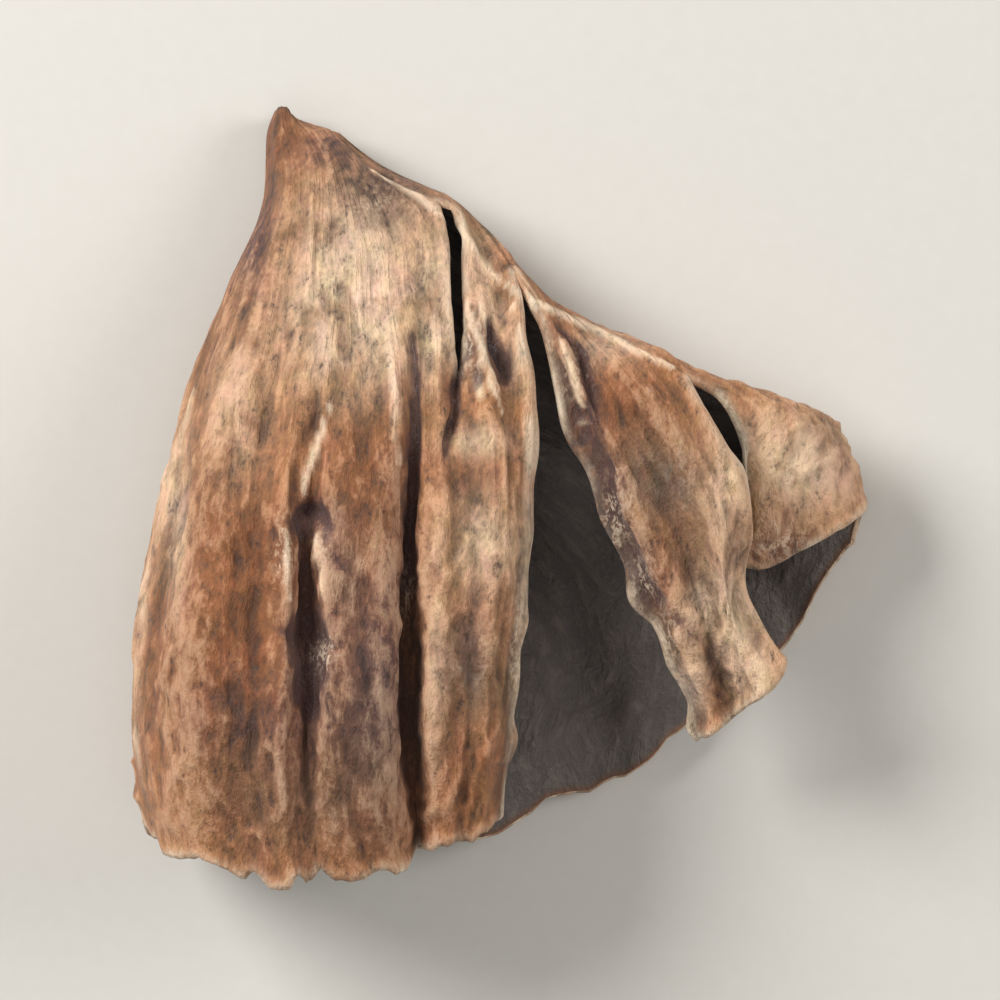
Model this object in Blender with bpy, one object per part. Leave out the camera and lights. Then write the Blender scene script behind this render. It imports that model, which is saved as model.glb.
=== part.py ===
"""A dried black trumpet mushroom, lying on its back: one thin-walled funnel, pleated and split as it dried.

One node, black_trumpet. The funnel is hollow from its wavy rim to the throat, and the stub of stem behind
it is solid. Its wall is a loft through unlike sections: fold lines run from the stem to the rim, and each
section passes through all of them in turn. +Y points to the stem, -Y out of the mouth and +Z up, with the
paler outer face on top. It rests on three low spots: the stem, and the ends of two ribs on its back.
"""

import math

import bmesh
import bpy
import numpy as np
from mathutils import Vector, noise

NAME = "dried_black_trumpet_mushroom"
NODE = "black_trumpet"
MM = 0.001

# Driving dimensions, in millimetres
LENGTH = 22.9  # from the broken stem to the end of the longest lobe
WALL = 0.72  # thickness of the dried flesh
EDGE_WALL = 0.6  # the same at the rim and at the throat
STEM_WIDTH = 1.35  # across the broken end
STEM_HEIGHT = 1.5
STEM_FLAT = 0.08  # how much of it is pressed flat underneath
THROAT_WIDTH = 3.3  # across the place where the stem begins to open
THROAT_HEIGHT = 2.7
RAGGED = 0.4  # how far the rim's edge wanders in and out
WRINKLE = 0.15  # height of the small wrinkles between the folds
CROWDED = 0.5  # columns of points closer than this are evened out on the inner face

# The length at which the fold lines below are drawn; they are scaled from it to LENGTH
DRAWN_LENGTH = 22.9

# How far along a fold line its points lie, from the stem's end at 0 to the rim at 1. The first point is on
# the stem's end and the second on the throat, and both follow from the line's bearing there.
STATIONS = (0.0, 0.10, 0.24, 0.42, 0.60, 0.80, 1.0)

# The fold lines, clockwise from the left edge as seen from the mouth: over the top, then back underneath.
# Each gives its name, its bearing at the stem in degrees from the top, the number of columns of faces up to
# the next line, and x, y and height at the last five stations.
FOLD_LINES = (
    ("left edge", -90, 2,
     ((-2.0, -5.1, 1.8), (-3.3, -8.9, 2.3), (-4.15, -13.0, 2.6), (-4.75, -17.4, 2.7), (-4.3, -21.2, 2.7))),
    ("left shoulder", -60, 2,
     ((-1.55, -5.2, 3.2), (-2.8, -9.0, 4.2), (-3.5, -13.1, 5.0), (-4.1, -17.6, 5.4), (-3.6, -21.8, 5.0))),
    ("left ridge", -36, 2,
     ((-0.75, -5.3, 4.1), (-1.75, -9.1, 5.5), (-2.4, -13.2, 6.5), (-2.8, -17.8, 7.1), (-2.3, -22.4, 6.4))),
    ("left dip", -21, 2,
     ((-0.15, -5.3, 4.25), (-0.85, -9.2, 5.5), (-1.2, -13.3, 6.45), (-1.4, -17.9, 7.2), (-1.2, -22.5, 6.6))),
    ("broad crown", -8, 2,
     ((0.45, -5.3, 4.45), (-0.05, -9.2, 6.1), (-0.15, -13.3, 7.1), (-0.2, -17.9, 7.8), (-0.1, -22.9, 7.1))),
    ("crack", 5, 1,
     ((1.0, -5.2, 4.4), (0.75, -9.2, 5.95), (0.5, -13.3, 6.3), (0.5, -17.4, 7.1), (0.7, -22.7, 6.95))),
    ("crack lip", 15, 2,
     ((1.5, -5.1, 4.35), (1.35, -9.2, 6.0), (1.05, -13.3, 7.0), (1.1, -17.8, 7.7), (1.5, -22.8, 7.0))),
    ("broad lip", 28, 1,
     ((2.45, -4.85, 4.15), (2.9, -9.1, 5.7), (2.85, -13.2, 6.4), (2.95, -17.6, 6.9), (3.15, -22.3, 6.3))),
    ("first groove", 38, 1,
     ((3.05, -4.6, 3.9), (3.4, -8.9, 5.0), (3.3, -13.1, 5.1), (3.4, -17.4, 5.6), (3.6, -21.7, 5.2))),
    ("narrow lip", 47, 1,
     ((3.6, -4.3, 3.75), (3.8, -8.7, 5.35), (3.8, -13.0, 6.2), (3.85, -17.3, 6.7), (4.1, -21.9, 6.0))),
    ("narrow crown", 53, 1,
     ((4.1, -3.95, 3.55), (4.25, -8.3, 5.3), (4.35, -12.8, 6.35), (4.4, -17.3, 6.75), (4.5, -22.0, 6.0))),
    ("slit left", 60, 1,
     ((4.45, -3.55, 3.25), (4.6, -7.9, 4.8), (4.8, -12.6, 6.2), (4.85, -17.2, 6.5), (4.85, -21.9, 5.8))),
    ("slit right", 66, 1,
     ((4.75, -3.3, 2.95), (5.0, -7.7, 4.7), (5.2, -12.4, 6.15), (5.15, -17.1, 6.45), (5.1, -21.8, 5.75))),
    ("wrinkle ridge", 72, 2,
     ((4.9, -3.05, 2.6), (5.55, -7.2, 4.9), (5.8, -12.1, 6.4), (5.6, -16.9, 6.5), (5.4, -21.6, 5.6))),
    ("wrinkle furrow", 79, 1,
     ((4.95, -2.95, 2.3), (6.1, -6.7, 4.3), (6.35, -11.7, 6.0), (6.0, -16.6, 6.0), (5.7, -21.4, 5.1))),
    ("split left", 86, 1,
     ((4.95, -2.9, 2.0), (6.65, -6.1, 4.1), (6.9, -11.3, 5.2), (6.42, -16.3, 5.1), (6.0, -21.0, 4.2))),
    ("split right", 92, 1,
     ((4.9, -2.9, 1.8), (7.0, -5.9, 3.9), (8.45, -10.6, 4.2), (10.5, -15.2, 4.1), (11.6, -18.6, 3.0))),
    ("tongue margin", 97, 1,
     ((4.85, -2.9, 1.6), (7.2, -5.7, 3.8), (9.1, -10.2, 5.1), (11.1, -14.8, 5.0), (12.1, -18.3, 3.9))),
    ("tongue crease", 102, 2,
     ((4.75, -2.95, 1.4), (7.3, -5.55, 3.5), (9.5, -9.7, 4.9), (11.7, -14.4, 4.7), (12.7, -17.9, 3.7))),
    ("tongue crown", 109, 2,
     ((4.5, -3.0, 1.2), (7.3, -5.45, 3.0), (10.2, -8.6, 5.5), (12.4, -12.9, 5.9), (13.3, -17.4, 4.5))),
    ("tongue lip", 117, 1,
     ((4.1, -3.1, 1.0), (7.05, -5.4, 2.4), (10.7, -7.5, 4.8), (12.95, -10.7, 5.2), (13.8, -16.4, 4.3))),
    ("second groove", 124, 1,
     ((3.8, -3.2, 0.9), (6.75, -5.5, 2.0), (10.95, -7.25, 4.5), (13.1, -10.1, 4.0), (13.0, -13.2, 3.2))),
    ("side lip", 129, 1,
     ((3.6, -3.25, 0.85), (6.5, -5.6, 1.8), (11.05, -7.2, 3.9), (13.8, -9.7, 4.2), (13.9, -12.7, 3.6))),
    ("side crown", 138, 2,
     ((3.3, -3.35, 0.75), (6.2, -5.7, 1.6), (10.85, -7.2, 3.1), (14.6, -9.2, 4.0), (15.1, -12.2, 3.5))),
    ("right edge", 152, 2,
     ((2.8, -3.55, 0.6), (5.6, -6.0, 1.2), (10.2, -7.5, 1.9), (15.4, -8.9, 2.6), (16.75, -11.8, 2.4))),
    ("back right", 164, 2,
     ((2.3, -3.85, 0.45), (4.9, -6.6, 0.8), (9.3, -8.4, 1.0), (14.1, -10.7, 1.2), (15.5, -14.0, 1.3))),
    ("right rib", 175, 2,
     ((1.8, -4.1, 0.3), (4.1, -7.2, 0.4), (8.2, -9.4, 0.4), (12.6, -12.5, 0.1), (13.5, -16.8, -0.8))),
    ("right hollow", 187, 2,
     ((1.2, -4.35, 0.55), (3.2, -7.7, 1.0), (6.9, -10.4, 1.2), (10.7, -14.2, 1.3), (11.2, -18.8, 1.0))),
    ("middle rib", 200, 2,
     ((0.6, -4.6, 0.35), (2.2, -8.1, 0.55), (5.4, -11.4, 0.6), (8.2, -15.6, 0.5), (8.6, -20.3, 0.35))),
    ("left hollow", 213, 3,
     ((0.05, -4.75, 0.6), (1.2, -8.5, 1.1), (3.5, -12.2, 1.3), (4.7, -16.8, 1.3), (5.0, -21.3, 1.0))),
    ("left rib", 227, 2,
     ((-0.5, -4.9, 0.3), (0.0, -8.7, 0.5), (0.9, -12.8, 0.4), (0.9, -17.3, 0.0), (0.9, -21.9, -0.8))),
    ("far hollow", 240, 1,
     ((-1.0, -5.0, 0.7), (-1.1, -8.85, 0.8), (-1.0, -13.0, 0.8), (-1.2, -17.4, 0.8), (-1.1, -21.8, 0.7))),
    ("back left", 254, 2,
     ((-1.5, -5.1, 1.0), (-2.3, -8.95, 1.1), (-2.9, -13.1, 1.1), (-3.3, -17.5, 1.1), (-2.9, -21.4, 1.0))),
)
ROWS = 54
FIRST_HOLLOW_ROW = 7

# Where the wall is torn open: the fold line on the tear's left, and the tear's ends along it
TEARS = (("slit left", 0.23, 0.40), ("split left", 0.38, 1.0), ("tongue lip", 0.66, 1.0))


def remove_everything():
    for thing in list(bpy.data.objects):
        bpy.data.objects.remove(thing)


def smooth_through(knots, values, places):
    """Values read at places from a cubic that passes through values at knots and never overshoots them."""
    widen = (-1,) + (1,) * (values.ndim - 1)
    steps = np.diff(knots).astype(float)
    slopes = np.diff(values, axis=0) / steps.reshape(widen)
    before, after = slopes[:-1], slopes[1:]
    same_way = before * after > 0
    turning = np.where(same_way, 2 * before * after / np.where(same_way, before + after, 1), 0)
    tangents = np.concatenate([slopes[:1], turning, slopes[-1:]])
    span = np.clip(np.searchsorted(knots, places, side="right") - 1, 0, len(steps) - 1)
    step = steps[span].reshape(widen)
    t = (places - knots[span]).reshape(widen) / step
    start = values[span] * (2 * t**3 - 3 * t**2 + 1) + tangents[span] * step * (t**3 - 2 * t**2 + t)
    end = values[span + 1] * (3 * t**2 - 2 * t**3) + tangents[span + 1] * step * (t**3 - t**2)
    return start + end


def size(vectors):
    return np.linalg.norm(vectors, axis=-1, keepdims=True)


def fold_line_points():
    """The fold lines' points, in millimetres: line, station, then x, y and height."""
    lines = []
    for _, bearing, _, drawn in FOLD_LINES:
        side, top = math.sin(math.radians(bearing)), math.cos(math.radians(bearing))
        stem_end = (-0.2 + STEM_WIDTH / 2 * side, 0.15 * top, STEM_HEIGHT / 2 * (1 + top) - STEM_FLAT)
        throat = (0.75 + THROAT_WIDTH / 2 * side, -1.9 + 0.3 * side, 0.15 + THROAT_HEIGHT / 2 * (1 + top))
        lines.append([stem_end, throat, *drawn])
    return np.array(lines) * (LENGTH / DRAWN_LENGTH)


def column_places():
    """Each column's place counted in fold lines, and the number of the column that lies on each line."""
    places, on_line = [], {}
    for number, (name, _, columns, _) in enumerate(FOLD_LINES):
        on_line[name] = len(places)
        places += [number + k / columns for k in range(columns)]
    return np.array(places), on_line


def torn_faces(places, on_line, along):
    """True for each face, by column and row, where the wall is torn away."""
    torn = np.zeros((len(places), len(along) - 1), bool)
    for name, start, end in TEARS:
        torn[on_line[name]] |= (along[:-1] >= start) & (along[1:] <= end)
    return torn


def broad_normals(grid):
    """The wall's outward directions with its narrow pleats smoothed away."""
    for _ in range(6):
        grid = (np.roll(grid, 1, 0) + grid + np.roll(grid, -1, 0)) / 3
    normals = np.cross(np.gradient(grid, axis=1), np.roll(grid, -1, 0) - np.roll(grid, 1, 0))
    return normals / size(normals)


def wandering(around, along, width, length, seed):
    """Smooth noise for each column and row, in patches of a width and length, that meets itself all round."""
    circumference = around[-1] + around[1]
    turns = circumference / (math.tau * width)
    angles = math.tau * around / circumference
    return np.array([[noise.noise(Vector((turns * math.cos(a), turns * math.sin(a), v / length + seed)))
                      for v in along] for a in angles])[:, :, None]


def outer_face(places, along):
    """The wall's outer face, in millimetres: column, row, then x, y and height."""
    lines = fold_line_points()
    knots = np.arange(-2, len(lines) + 2)
    sections = smooth_through(knots, lines[knots % len(lines)], places)
    grid = np.stack([smooth_through(np.array(STATIONS), line, along) for line in sections])

    # Wrinkles and the ragged rim keep their width where the funnel is wide, and shrink with it to the stem
    spacing = size(np.roll(grid, -1, 0) - grid)
    wide = spacing[:, int(0.75 * len(along))]
    around = np.cumsum(wide) - wide[:, 0]
    shrink = np.minimum(spacing / wide[:, None], 1)
    wrinkles = WRINKLE * shrink * wandering(around, along, 1.6, 0.35, 0.0)
    rim = np.clip((along - 0.8) / 0.2, 0, 1)[None, :, None] ** 2
    ragged = RAGGED * rim * wandering(around, along * 0, 1.3, 1.0, 20.0)
    outward = np.gradient(grid, axis=1)
    grid = grid + broad_normals(grid) * wrinkles + outward / size(outward) * ragged
    grid[:, :, 2] = np.maximum(grid[:, :, 2], 0)
    return grid


def inner_face(outer, wall):
    """The wall's inner face: each point goes in until it is a wall's thickness from the pleats near it."""
    normals = broad_normals(outer)
    depth = wall
    for way in (1, -1):
        reached, travelled = outer, 0
        for step in range(1, 9):
            following = np.roll(outer, way * step, 0)
            travelled = travelled + size(following - reached)
            reached = following
            alike = (normals * np.roll(normals, way * step, 0)).sum(2, keepdims=True) > 0.6
            rise = ((reached - outer) * normals).sum(2, keepdims=True)
            aside = size(reached - outer) ** 2 - rise**2
            clear = np.sqrt(np.maximum(wall**2 - aside, 0)) - rise
            near = (aside < wall**2) & (travelled < 2.6 * wall) & alike
            depth = np.where(near, np.maximum(depth, clear), depth)
    return even_out(outer - normals * depth)


def even_out(grid):
    """The grid, evened out where its columns crowd together, so that no face folds over another."""
    for _ in range(16):
        before, after = np.roll(grid, 1, 0), np.roll(grid, -1, 0)
        above, below = np.roll(grid, 1, 1), np.roll(grid, -1, 1)
        above[:, 0], below[:, -1] = grid[:, 0], grid[:, -1]
        near = np.clip(1 - np.maximum(size(before - grid), size(after - grid)) / CROWDED, 0, 1)
        grid = (grid + near * (before + after) + 0.5 * near * (above + below)) / (1 + 3 * near)
    return grid


def add_quad(shape, a, b, c, d):
    shape.faces.new((a, b, c))
    shape.faces.new((a, c, d))


def add_cap(shape, ring, centre):
    """Close a ring of points with triangles that meet at its centre."""
    tip = shape.verts.new(centre * MM)
    for a, b in zip(ring, ring[1:] + ring[:1]):
        shape.faces.new((a, b, tip))


def wall_shape(outer, inner, torn):
    """The closed shape between the two faces, with both split into triangles alike."""
    shape = bmesh.new()
    out, back = [[[shape.verts.new(point * MM) for point in column] for column in grid]
                 for grid in (outer, inner[:, FIRST_HOLLOW_ROW:])]
    back = [[None] * FIRST_HOLLOW_ROW + column for column in back]
    partner = {}
    for c in range(len(out)):
        n = (c + 1) % len(out)
        partner.update(zip(out[c], back[c]))
        for r in range(torn.shape[1]):
            if torn[c, r]:
                continue
            add_quad(shape, out[c][r], out[c][r + 1], out[n][r + 1], out[n][r])
            if r >= FIRST_HOLLOW_ROW:
                shape.faces.new((back[c][r], back[n][r + 1], back[c][r + 1]))
                shape.faces.new((back[c][r], back[n][r], back[n][r + 1]))

    add_cap(shape, [column[0] for column in out], outer[:, 0].mean(0))
    throat = [column[FIRST_HOLLOW_ROW] for column in reversed(back)]
    add_cap(shape, throat, inner[:, FIRST_HOLLOW_ROW - 1].mean(0))

    # The rim and the tears: a strip joins every open edge of the outer face to the inner face
    for edge in [edge for edge in shape.edges if edge.is_boundary and edge.verts[0] in partner]:
        a = edge.link_loops[0].vert
        b = edge.other_vert(a)
        add_quad(shape, b, a, partner[a], partner[b])
    return shape


def flesh_material():
    material = bpy.data.materials.new("dried mushroom flesh")
    material.use_nodes = True
    shader = material.node_tree.nodes["Principled BSDF"]
    shader.inputs["Base Color"].default_value = (0.38, 0.25, 0.16, 1.0)
    shader.inputs["Roughness"].default_value = 0.8
    return material


def main():
    remove_everything()
    places, on_line = column_places()
    along = np.linspace(0, 1, ROWS)
    torn = torn_faces(places, on_line, along)
    outer = outer_face(places, along)
    wall = np.interp(along, (0, 0.15, 0.4, 0.9, 1), (EDGE_WALL, EDGE_WALL, WALL, WALL, EDGE_WALL))
    inner = inner_face(outer, wall[None, :, None])

    # The origin is under the middle of the whole mushroom
    low, high = outer.min((0, 1)), outer.max((0, 1))
    middle = np.array(((low[0] + high[0]) / 2, (low[1] + high[1]) / 2, low[2]))
    shape = wall_shape(outer - middle, inner - middle, torn)
    mesh = bpy.data.meshes.new(NODE)
    shape.to_mesh(mesh)
    shape.free()
    mesh.shade_smooth()
    mesh.materials.append(flesh_material())

    mushroom = bpy.data.objects.new(NODE, mesh)
    collection = bpy.data.collections.new(NAME)
    collection.objects.link(mushroom)
    bpy.context.scene.collection.children.link(collection)


main()
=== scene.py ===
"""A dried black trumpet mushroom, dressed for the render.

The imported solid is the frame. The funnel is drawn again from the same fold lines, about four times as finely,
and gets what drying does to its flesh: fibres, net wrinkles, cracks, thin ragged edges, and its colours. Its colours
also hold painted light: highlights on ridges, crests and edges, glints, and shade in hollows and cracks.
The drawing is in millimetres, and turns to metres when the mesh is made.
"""

import math

import bpy
import numpy as np
from bpy.props import FloatProperty, FloatVectorProperty, PointerProperty
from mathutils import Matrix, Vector, kdtree, noise


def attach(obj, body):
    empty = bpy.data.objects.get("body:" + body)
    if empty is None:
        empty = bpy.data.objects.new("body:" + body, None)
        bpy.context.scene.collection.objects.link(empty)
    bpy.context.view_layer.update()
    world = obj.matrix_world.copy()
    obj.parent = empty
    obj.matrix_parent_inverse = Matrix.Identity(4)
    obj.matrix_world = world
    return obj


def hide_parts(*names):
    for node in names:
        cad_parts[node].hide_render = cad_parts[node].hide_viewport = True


bl_info = {
    "name": "Dried black trumpet",
    "version": (1, 0, 0),
    "blender": (4, 5, 0),
    "location": "3D View > Sidebar > Mushroom",
    "description": "Grows a dried black trumpet mushroom over its solid, and sets it on a plain floor",
    "category": "Add Mesh",
}

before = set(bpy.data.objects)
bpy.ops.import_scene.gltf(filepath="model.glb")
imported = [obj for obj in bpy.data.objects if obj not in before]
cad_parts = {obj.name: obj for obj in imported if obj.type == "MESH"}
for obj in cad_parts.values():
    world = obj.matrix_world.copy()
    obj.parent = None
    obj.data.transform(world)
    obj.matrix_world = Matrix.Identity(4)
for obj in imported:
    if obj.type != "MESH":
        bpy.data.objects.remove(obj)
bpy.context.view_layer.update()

NODE = "black_trumpet"
MM = 0.001
IOR = 1.45  # of dried flesh
MIDDLE = 4 * MM  # height of the mushroom's middle, where the camera and the lamps are set for
FLOOR_REACH = 600 * MM  # from the mushroom to the floor's sides

# Driving dimensions, in millimetres
LENGTH = 22.9  # from the broken stem to the end of the longest lobe
WALL = 0.72  # thickness of the dried flesh
EDGE_WALL = 0.6  # the same at the rim and at the throat
STEM_WIDTH = 1.35  # across the broken end
STEM_HEIGHT = 1.5
STEM_FLAT = 0.08  # how much of it is pressed flat underneath
THROAT_WIDTH = 3.3  # across the place where the stem begins to open
THROAT_HEIGHT = 2.7
RAGGED = 0.4  # how far the rim's edge wanders in and out
WRINKLE = 0.15  # height of the small wrinkles between the folds
CROWDED = 0.5  # columns of points closer than this are evened out on the inner face
WIDTH_READ_AT = 0.75  # how far from the stem to the rim the funnel's width is read, as a share

# The length at which the fold lines below are drawn; they are scaled from it to LENGTH
DRAWN_LENGTH = 22.9

# How far along a fold line its points lie, from the stem's end at 0 to the rim at 1. The first point is on
# the stem's end and the second on the throat, and both follow from the line's bearing there.
STATIONS = (0.0, 0.10, 0.24, 0.42, 0.60, 0.80, 1.0)

# The fold lines, clockwise from the left edge as seen from the mouth: over the top, then back underneath.
# Each gives its name, its bearing at the stem in degrees from the top, the number of columns of faces up to
# the next line, and x, y and height at the last five stations.
FOLD_LINES = (
    ("left edge", -90, 2,
     ((-2.0, -5.1, 1.8), (-3.3, -8.9, 2.3), (-4.15, -13.0, 2.6), (-4.75, -17.4, 2.7), (-4.3, -21.2, 2.7))),
    ("left shoulder", -60, 2,
     ((-1.55, -5.2, 3.2), (-2.8, -9.0, 4.2), (-3.5, -13.1, 5.0), (-4.1, -17.6, 5.4), (-3.6, -21.8, 5.0))),
    ("left ridge", -36, 2,
     ((-0.75, -5.3, 4.1), (-1.75, -9.1, 5.5), (-2.4, -13.2, 6.5), (-2.8, -17.8, 7.1), (-2.3, -22.4, 6.4))),
    ("left dip", -21, 2,
     ((-0.15, -5.3, 4.25), (-0.85, -9.2, 5.5), (-1.2, -13.3, 6.45), (-1.4, -17.9, 7.2), (-1.2, -22.5, 6.6))),
    ("broad crown", -8, 2,
     ((0.45, -5.3, 4.45), (-0.05, -9.2, 6.1), (-0.15, -13.3, 7.1), (-0.2, -17.9, 7.8), (-0.1, -22.9, 7.1))),
    ("crack", 5, 1,
     ((1.0, -5.2, 4.4), (0.75, -9.2, 5.95), (0.5, -13.3, 6.3), (0.5, -17.4, 7.1), (0.7, -22.7, 6.95))),
    ("crack lip", 15, 2,
     ((1.5, -5.1, 4.35), (1.35, -9.2, 6.0), (1.05, -13.3, 7.0), (1.1, -17.8, 7.7), (1.5, -22.8, 7.0))),
    ("broad lip", 28, 1,
     ((2.45, -4.85, 4.15), (2.9, -9.1, 5.7), (2.85, -13.2, 6.4), (2.95, -17.6, 6.9), (3.15, -22.3, 6.3))),
    ("first groove", 38, 1,
     ((3.05, -4.6, 3.9), (3.4, -8.9, 5.0), (3.3, -13.1, 5.1), (3.4, -17.4, 5.6), (3.6, -21.7, 5.2))),
    ("narrow lip", 47, 1,
     ((3.6, -4.3, 3.75), (3.8, -8.7, 5.35), (3.8, -13.0, 6.2), (3.85, -17.3, 6.7), (4.1, -21.9, 6.0))),
    ("narrow crown", 53, 1,
     ((4.1, -3.95, 3.55), (4.25, -8.3, 5.3), (4.35, -12.8, 6.35), (4.4, -17.3, 6.75), (4.5, -22.0, 6.0))),
    ("slit left", 60, 1,
     ((4.45, -3.55, 3.25), (4.6, -7.9, 4.8), (4.8, -12.6, 6.2), (4.85, -17.2, 6.5), (4.85, -21.9, 5.8))),
    ("slit right", 66, 1,
     ((4.75, -3.3, 2.95), (5.0, -7.7, 4.7), (5.2, -12.4, 6.15), (5.15, -17.1, 6.45), (5.1, -21.8, 5.75))),
    ("wrinkle ridge", 72, 2,
     ((4.9, -3.05, 2.6), (5.55, -7.2, 4.9), (5.8, -12.1, 6.4), (5.6, -16.9, 6.5), (5.4, -21.6, 5.6))),
    ("wrinkle furrow", 79, 1,
     ((4.95, -2.95, 2.3), (6.1, -6.7, 4.3), (6.35, -11.7, 6.0), (6.0, -16.6, 6.0), (5.7, -21.4, 5.1))),
    ("split left", 86, 1,
     ((4.95, -2.9, 2.0), (6.65, -6.1, 4.1), (6.9, -11.3, 5.2), (6.42, -16.3, 5.1), (6.0, -21.0, 4.2))),
    ("split right", 92, 1,
     ((4.9, -2.9, 1.8), (7.0, -5.9, 3.9), (8.45, -10.6, 4.2), (10.5, -15.2, 4.1), (11.6, -18.6, 3.0))),
    ("tongue margin", 97, 1,
     ((4.85, -2.9, 1.6), (7.2, -5.7, 3.8), (9.1, -10.2, 5.1), (11.1, -14.8, 5.0), (12.1, -18.3, 3.9))),
    ("tongue crease", 102, 2,
     ((4.75, -2.95, 1.4), (7.3, -5.55, 3.5), (9.5, -9.7, 4.9), (11.7, -14.4, 4.7), (12.7, -17.9, 3.7))),
    ("tongue crown", 109, 2,
     ((4.5, -3.0, 1.2), (7.3, -5.45, 3.0), (10.2, -8.6, 5.5), (12.4, -12.9, 5.9), (13.3, -17.4, 4.5))),
    ("tongue lip", 117, 1,
     ((4.1, -3.1, 1.0), (7.05, -5.4, 2.4), (10.7, -7.5, 4.8), (12.95, -10.7, 5.2), (13.8, -16.4, 4.3))),
    ("second groove", 124, 1,
     ((3.8, -3.2, 0.9), (6.75, -5.5, 2.0), (10.95, -7.25, 4.5), (13.1, -10.1, 4.0), (13.0, -13.2, 3.2))),
    ("side lip", 129, 1,
     ((3.6, -3.25, 0.85), (6.5, -5.6, 1.8), (11.05, -7.2, 3.9), (13.8, -9.7, 4.2), (13.9, -12.7, 3.6))),
    ("side crown", 138, 2,
     ((3.3, -3.35, 0.75), (6.2, -5.7, 1.6), (10.85, -7.2, 3.1), (14.6, -9.2, 4.0), (15.1, -12.2, 3.5))),
    ("right edge", 152, 2,
     ((2.8, -3.55, 0.6), (5.6, -6.0, 1.2), (10.2, -7.5, 1.9), (15.4, -8.9, 2.6), (16.75, -11.8, 2.4))),
    ("back right", 164, 2,
     ((2.3, -3.85, 0.45), (4.9, -6.6, 0.8), (9.3, -8.4, 1.0), (14.1, -10.7, 1.2), (15.5, -14.0, 1.3))),
    ("right rib", 175, 2,
     ((1.8, -4.1, 0.3), (4.1, -7.2, 0.4), (8.2, -9.4, 0.4), (12.6, -12.5, 0.1), (13.5, -16.8, -0.8))),
    ("right hollow", 187, 2,
     ((1.2, -4.35, 0.55), (3.2, -7.7, 1.0), (6.9, -10.4, 1.2), (10.7, -14.2, 1.3), (11.2, -18.8, 1.0))),
    ("middle rib", 200, 2,
     ((0.6, -4.6, 0.35), (2.2, -8.1, 0.55), (5.4, -11.4, 0.6), (8.2, -15.6, 0.5), (8.6, -20.3, 0.35))),
    ("left hollow", 213, 3,
     ((0.05, -4.75, 0.6), (1.2, -8.5, 1.1), (3.5, -12.2, 1.3), (4.7, -16.8, 1.3), (5.0, -21.3, 1.0))),
    ("left rib", 227, 2,
     ((-0.5, -4.9, 0.3), (0.0, -8.7, 0.5), (0.9, -12.8, 0.4), (0.9, -17.3, 0.0), (0.9, -21.9, -0.8))),
    ("far hollow", 240, 1,
     ((-1.0, -5.0, 0.7), (-1.1, -8.85, 0.8), (-1.0, -13.0, 0.8), (-1.2, -17.4, 0.8), (-1.1, -21.8, 0.7))),
    ("back left", 254, 2,
     ((-1.5, -5.1, 1.0), (-2.3, -8.95, 1.1), (-2.9, -13.1, 1.1), (-3.3, -17.5, 1.1), (-2.9, -21.4, 1.0))),
)
ROWS = 54
FIRST_HOLLOW_ROW = 7

# Where the wall is torn open: the fold line on the tear's left, then how wide it gapes on the way along, as a
# share of the gap between the fold lines. The tears end in points.
TEARS = (
    ("slit left", ((0.195, 0.0), (0.22, 1.25), (0.27, 1.5), (0.34, 1.1), (0.39, 0.7), (0.415, 0.0))),
    ("split left", ((0.36, 0.0), (0.41, 1.1), (0.47, 0.8), (0.53, 0.62), (0.6, 0.95), (1.0, 1.0))),
    ("tongue lip", ((0.64, 0.0), (0.69, 1.2), (0.75, 1.3), (0.82, 0.3), (0.9, 0.25), (1.0, 0.6))),
)

# How much finer the funnel is drawn than in the solid
FINER = 4  # points for each column of the solid
FINE_ROWS = 200

# Beside a tear, in columns of points, and before and after it, as a share of the length
PULLED = 9  # how far the columns beside it are drawn in where it closes
FRAYED = 6  # how far its roughness is felt
CLOSING = 0.07
MOST_CLOSED = 0.93  # how much of the gap closes at most, so that its faces don't vanish
ROUGH = 0.8  # how far a torn edge wanders, in columns

# How much of the length the rim loses at most to waves, notches and frays
RIM_WAVES, RIM_NOTCHES, RIM_FRAY = 0.03, 0.03, 0.006
KEPT = 0.75  # how much of that the tongue's end and the side lobe are spared, as a share

# What is added to the fold lines' shape, in millimetres
WAIST = 0.45  # how far the tongue's right side comes in above its end
FLARE = 0.5  # how far the end stands out to the right below the waist
FLARE_LIFT = 0.3
POINT = 0.5  # how far the end's left corner is drawn out to the right
LAPPET = (-0.1, -0.8, -0.5)  # how the side lobe's left corner hangs down
GROOVE_FILL = 0.5  # how much of the first groove's upper half is closed

# The relief, in millimetres
LUMPS = 0.36  # height of the broad lumps
CALMER_ON_TOP = 0.16  # how much less it is on the upper side
ROLL = 0.07  # height of the roll along every torn edge
ROLL_FROM_EDGE = 0.12
JAGGED = 0.07  # how far a drawn line's sides wander
INNER_LUMPS = 0.2
INNER_VEINS = 0.13
THIN_REACH = 1.7  # how far from an open edge the wall begins to thin
STRIP = 0.07  # how far the rounded strip along an open edge stands out
LEAST_GAP = 0.15  # the least height of the inner face over the floor
PALE_EDGE = 0.17  # how far the pale edge reaches, a painted highlight along every open edge
DEEP = 0.09  # how far under its surroundings a hollow lies where its painted shade is darkest
LEVEL = 0.5  # the share painted where there is neither a ridge's painted highlight nor a hollow's painted shade
STEM_WEAR = 0.3  # how much narrower the stem is worn at its end, as a share
WORN_ROWS = 8  # over as many rows of points
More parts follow.
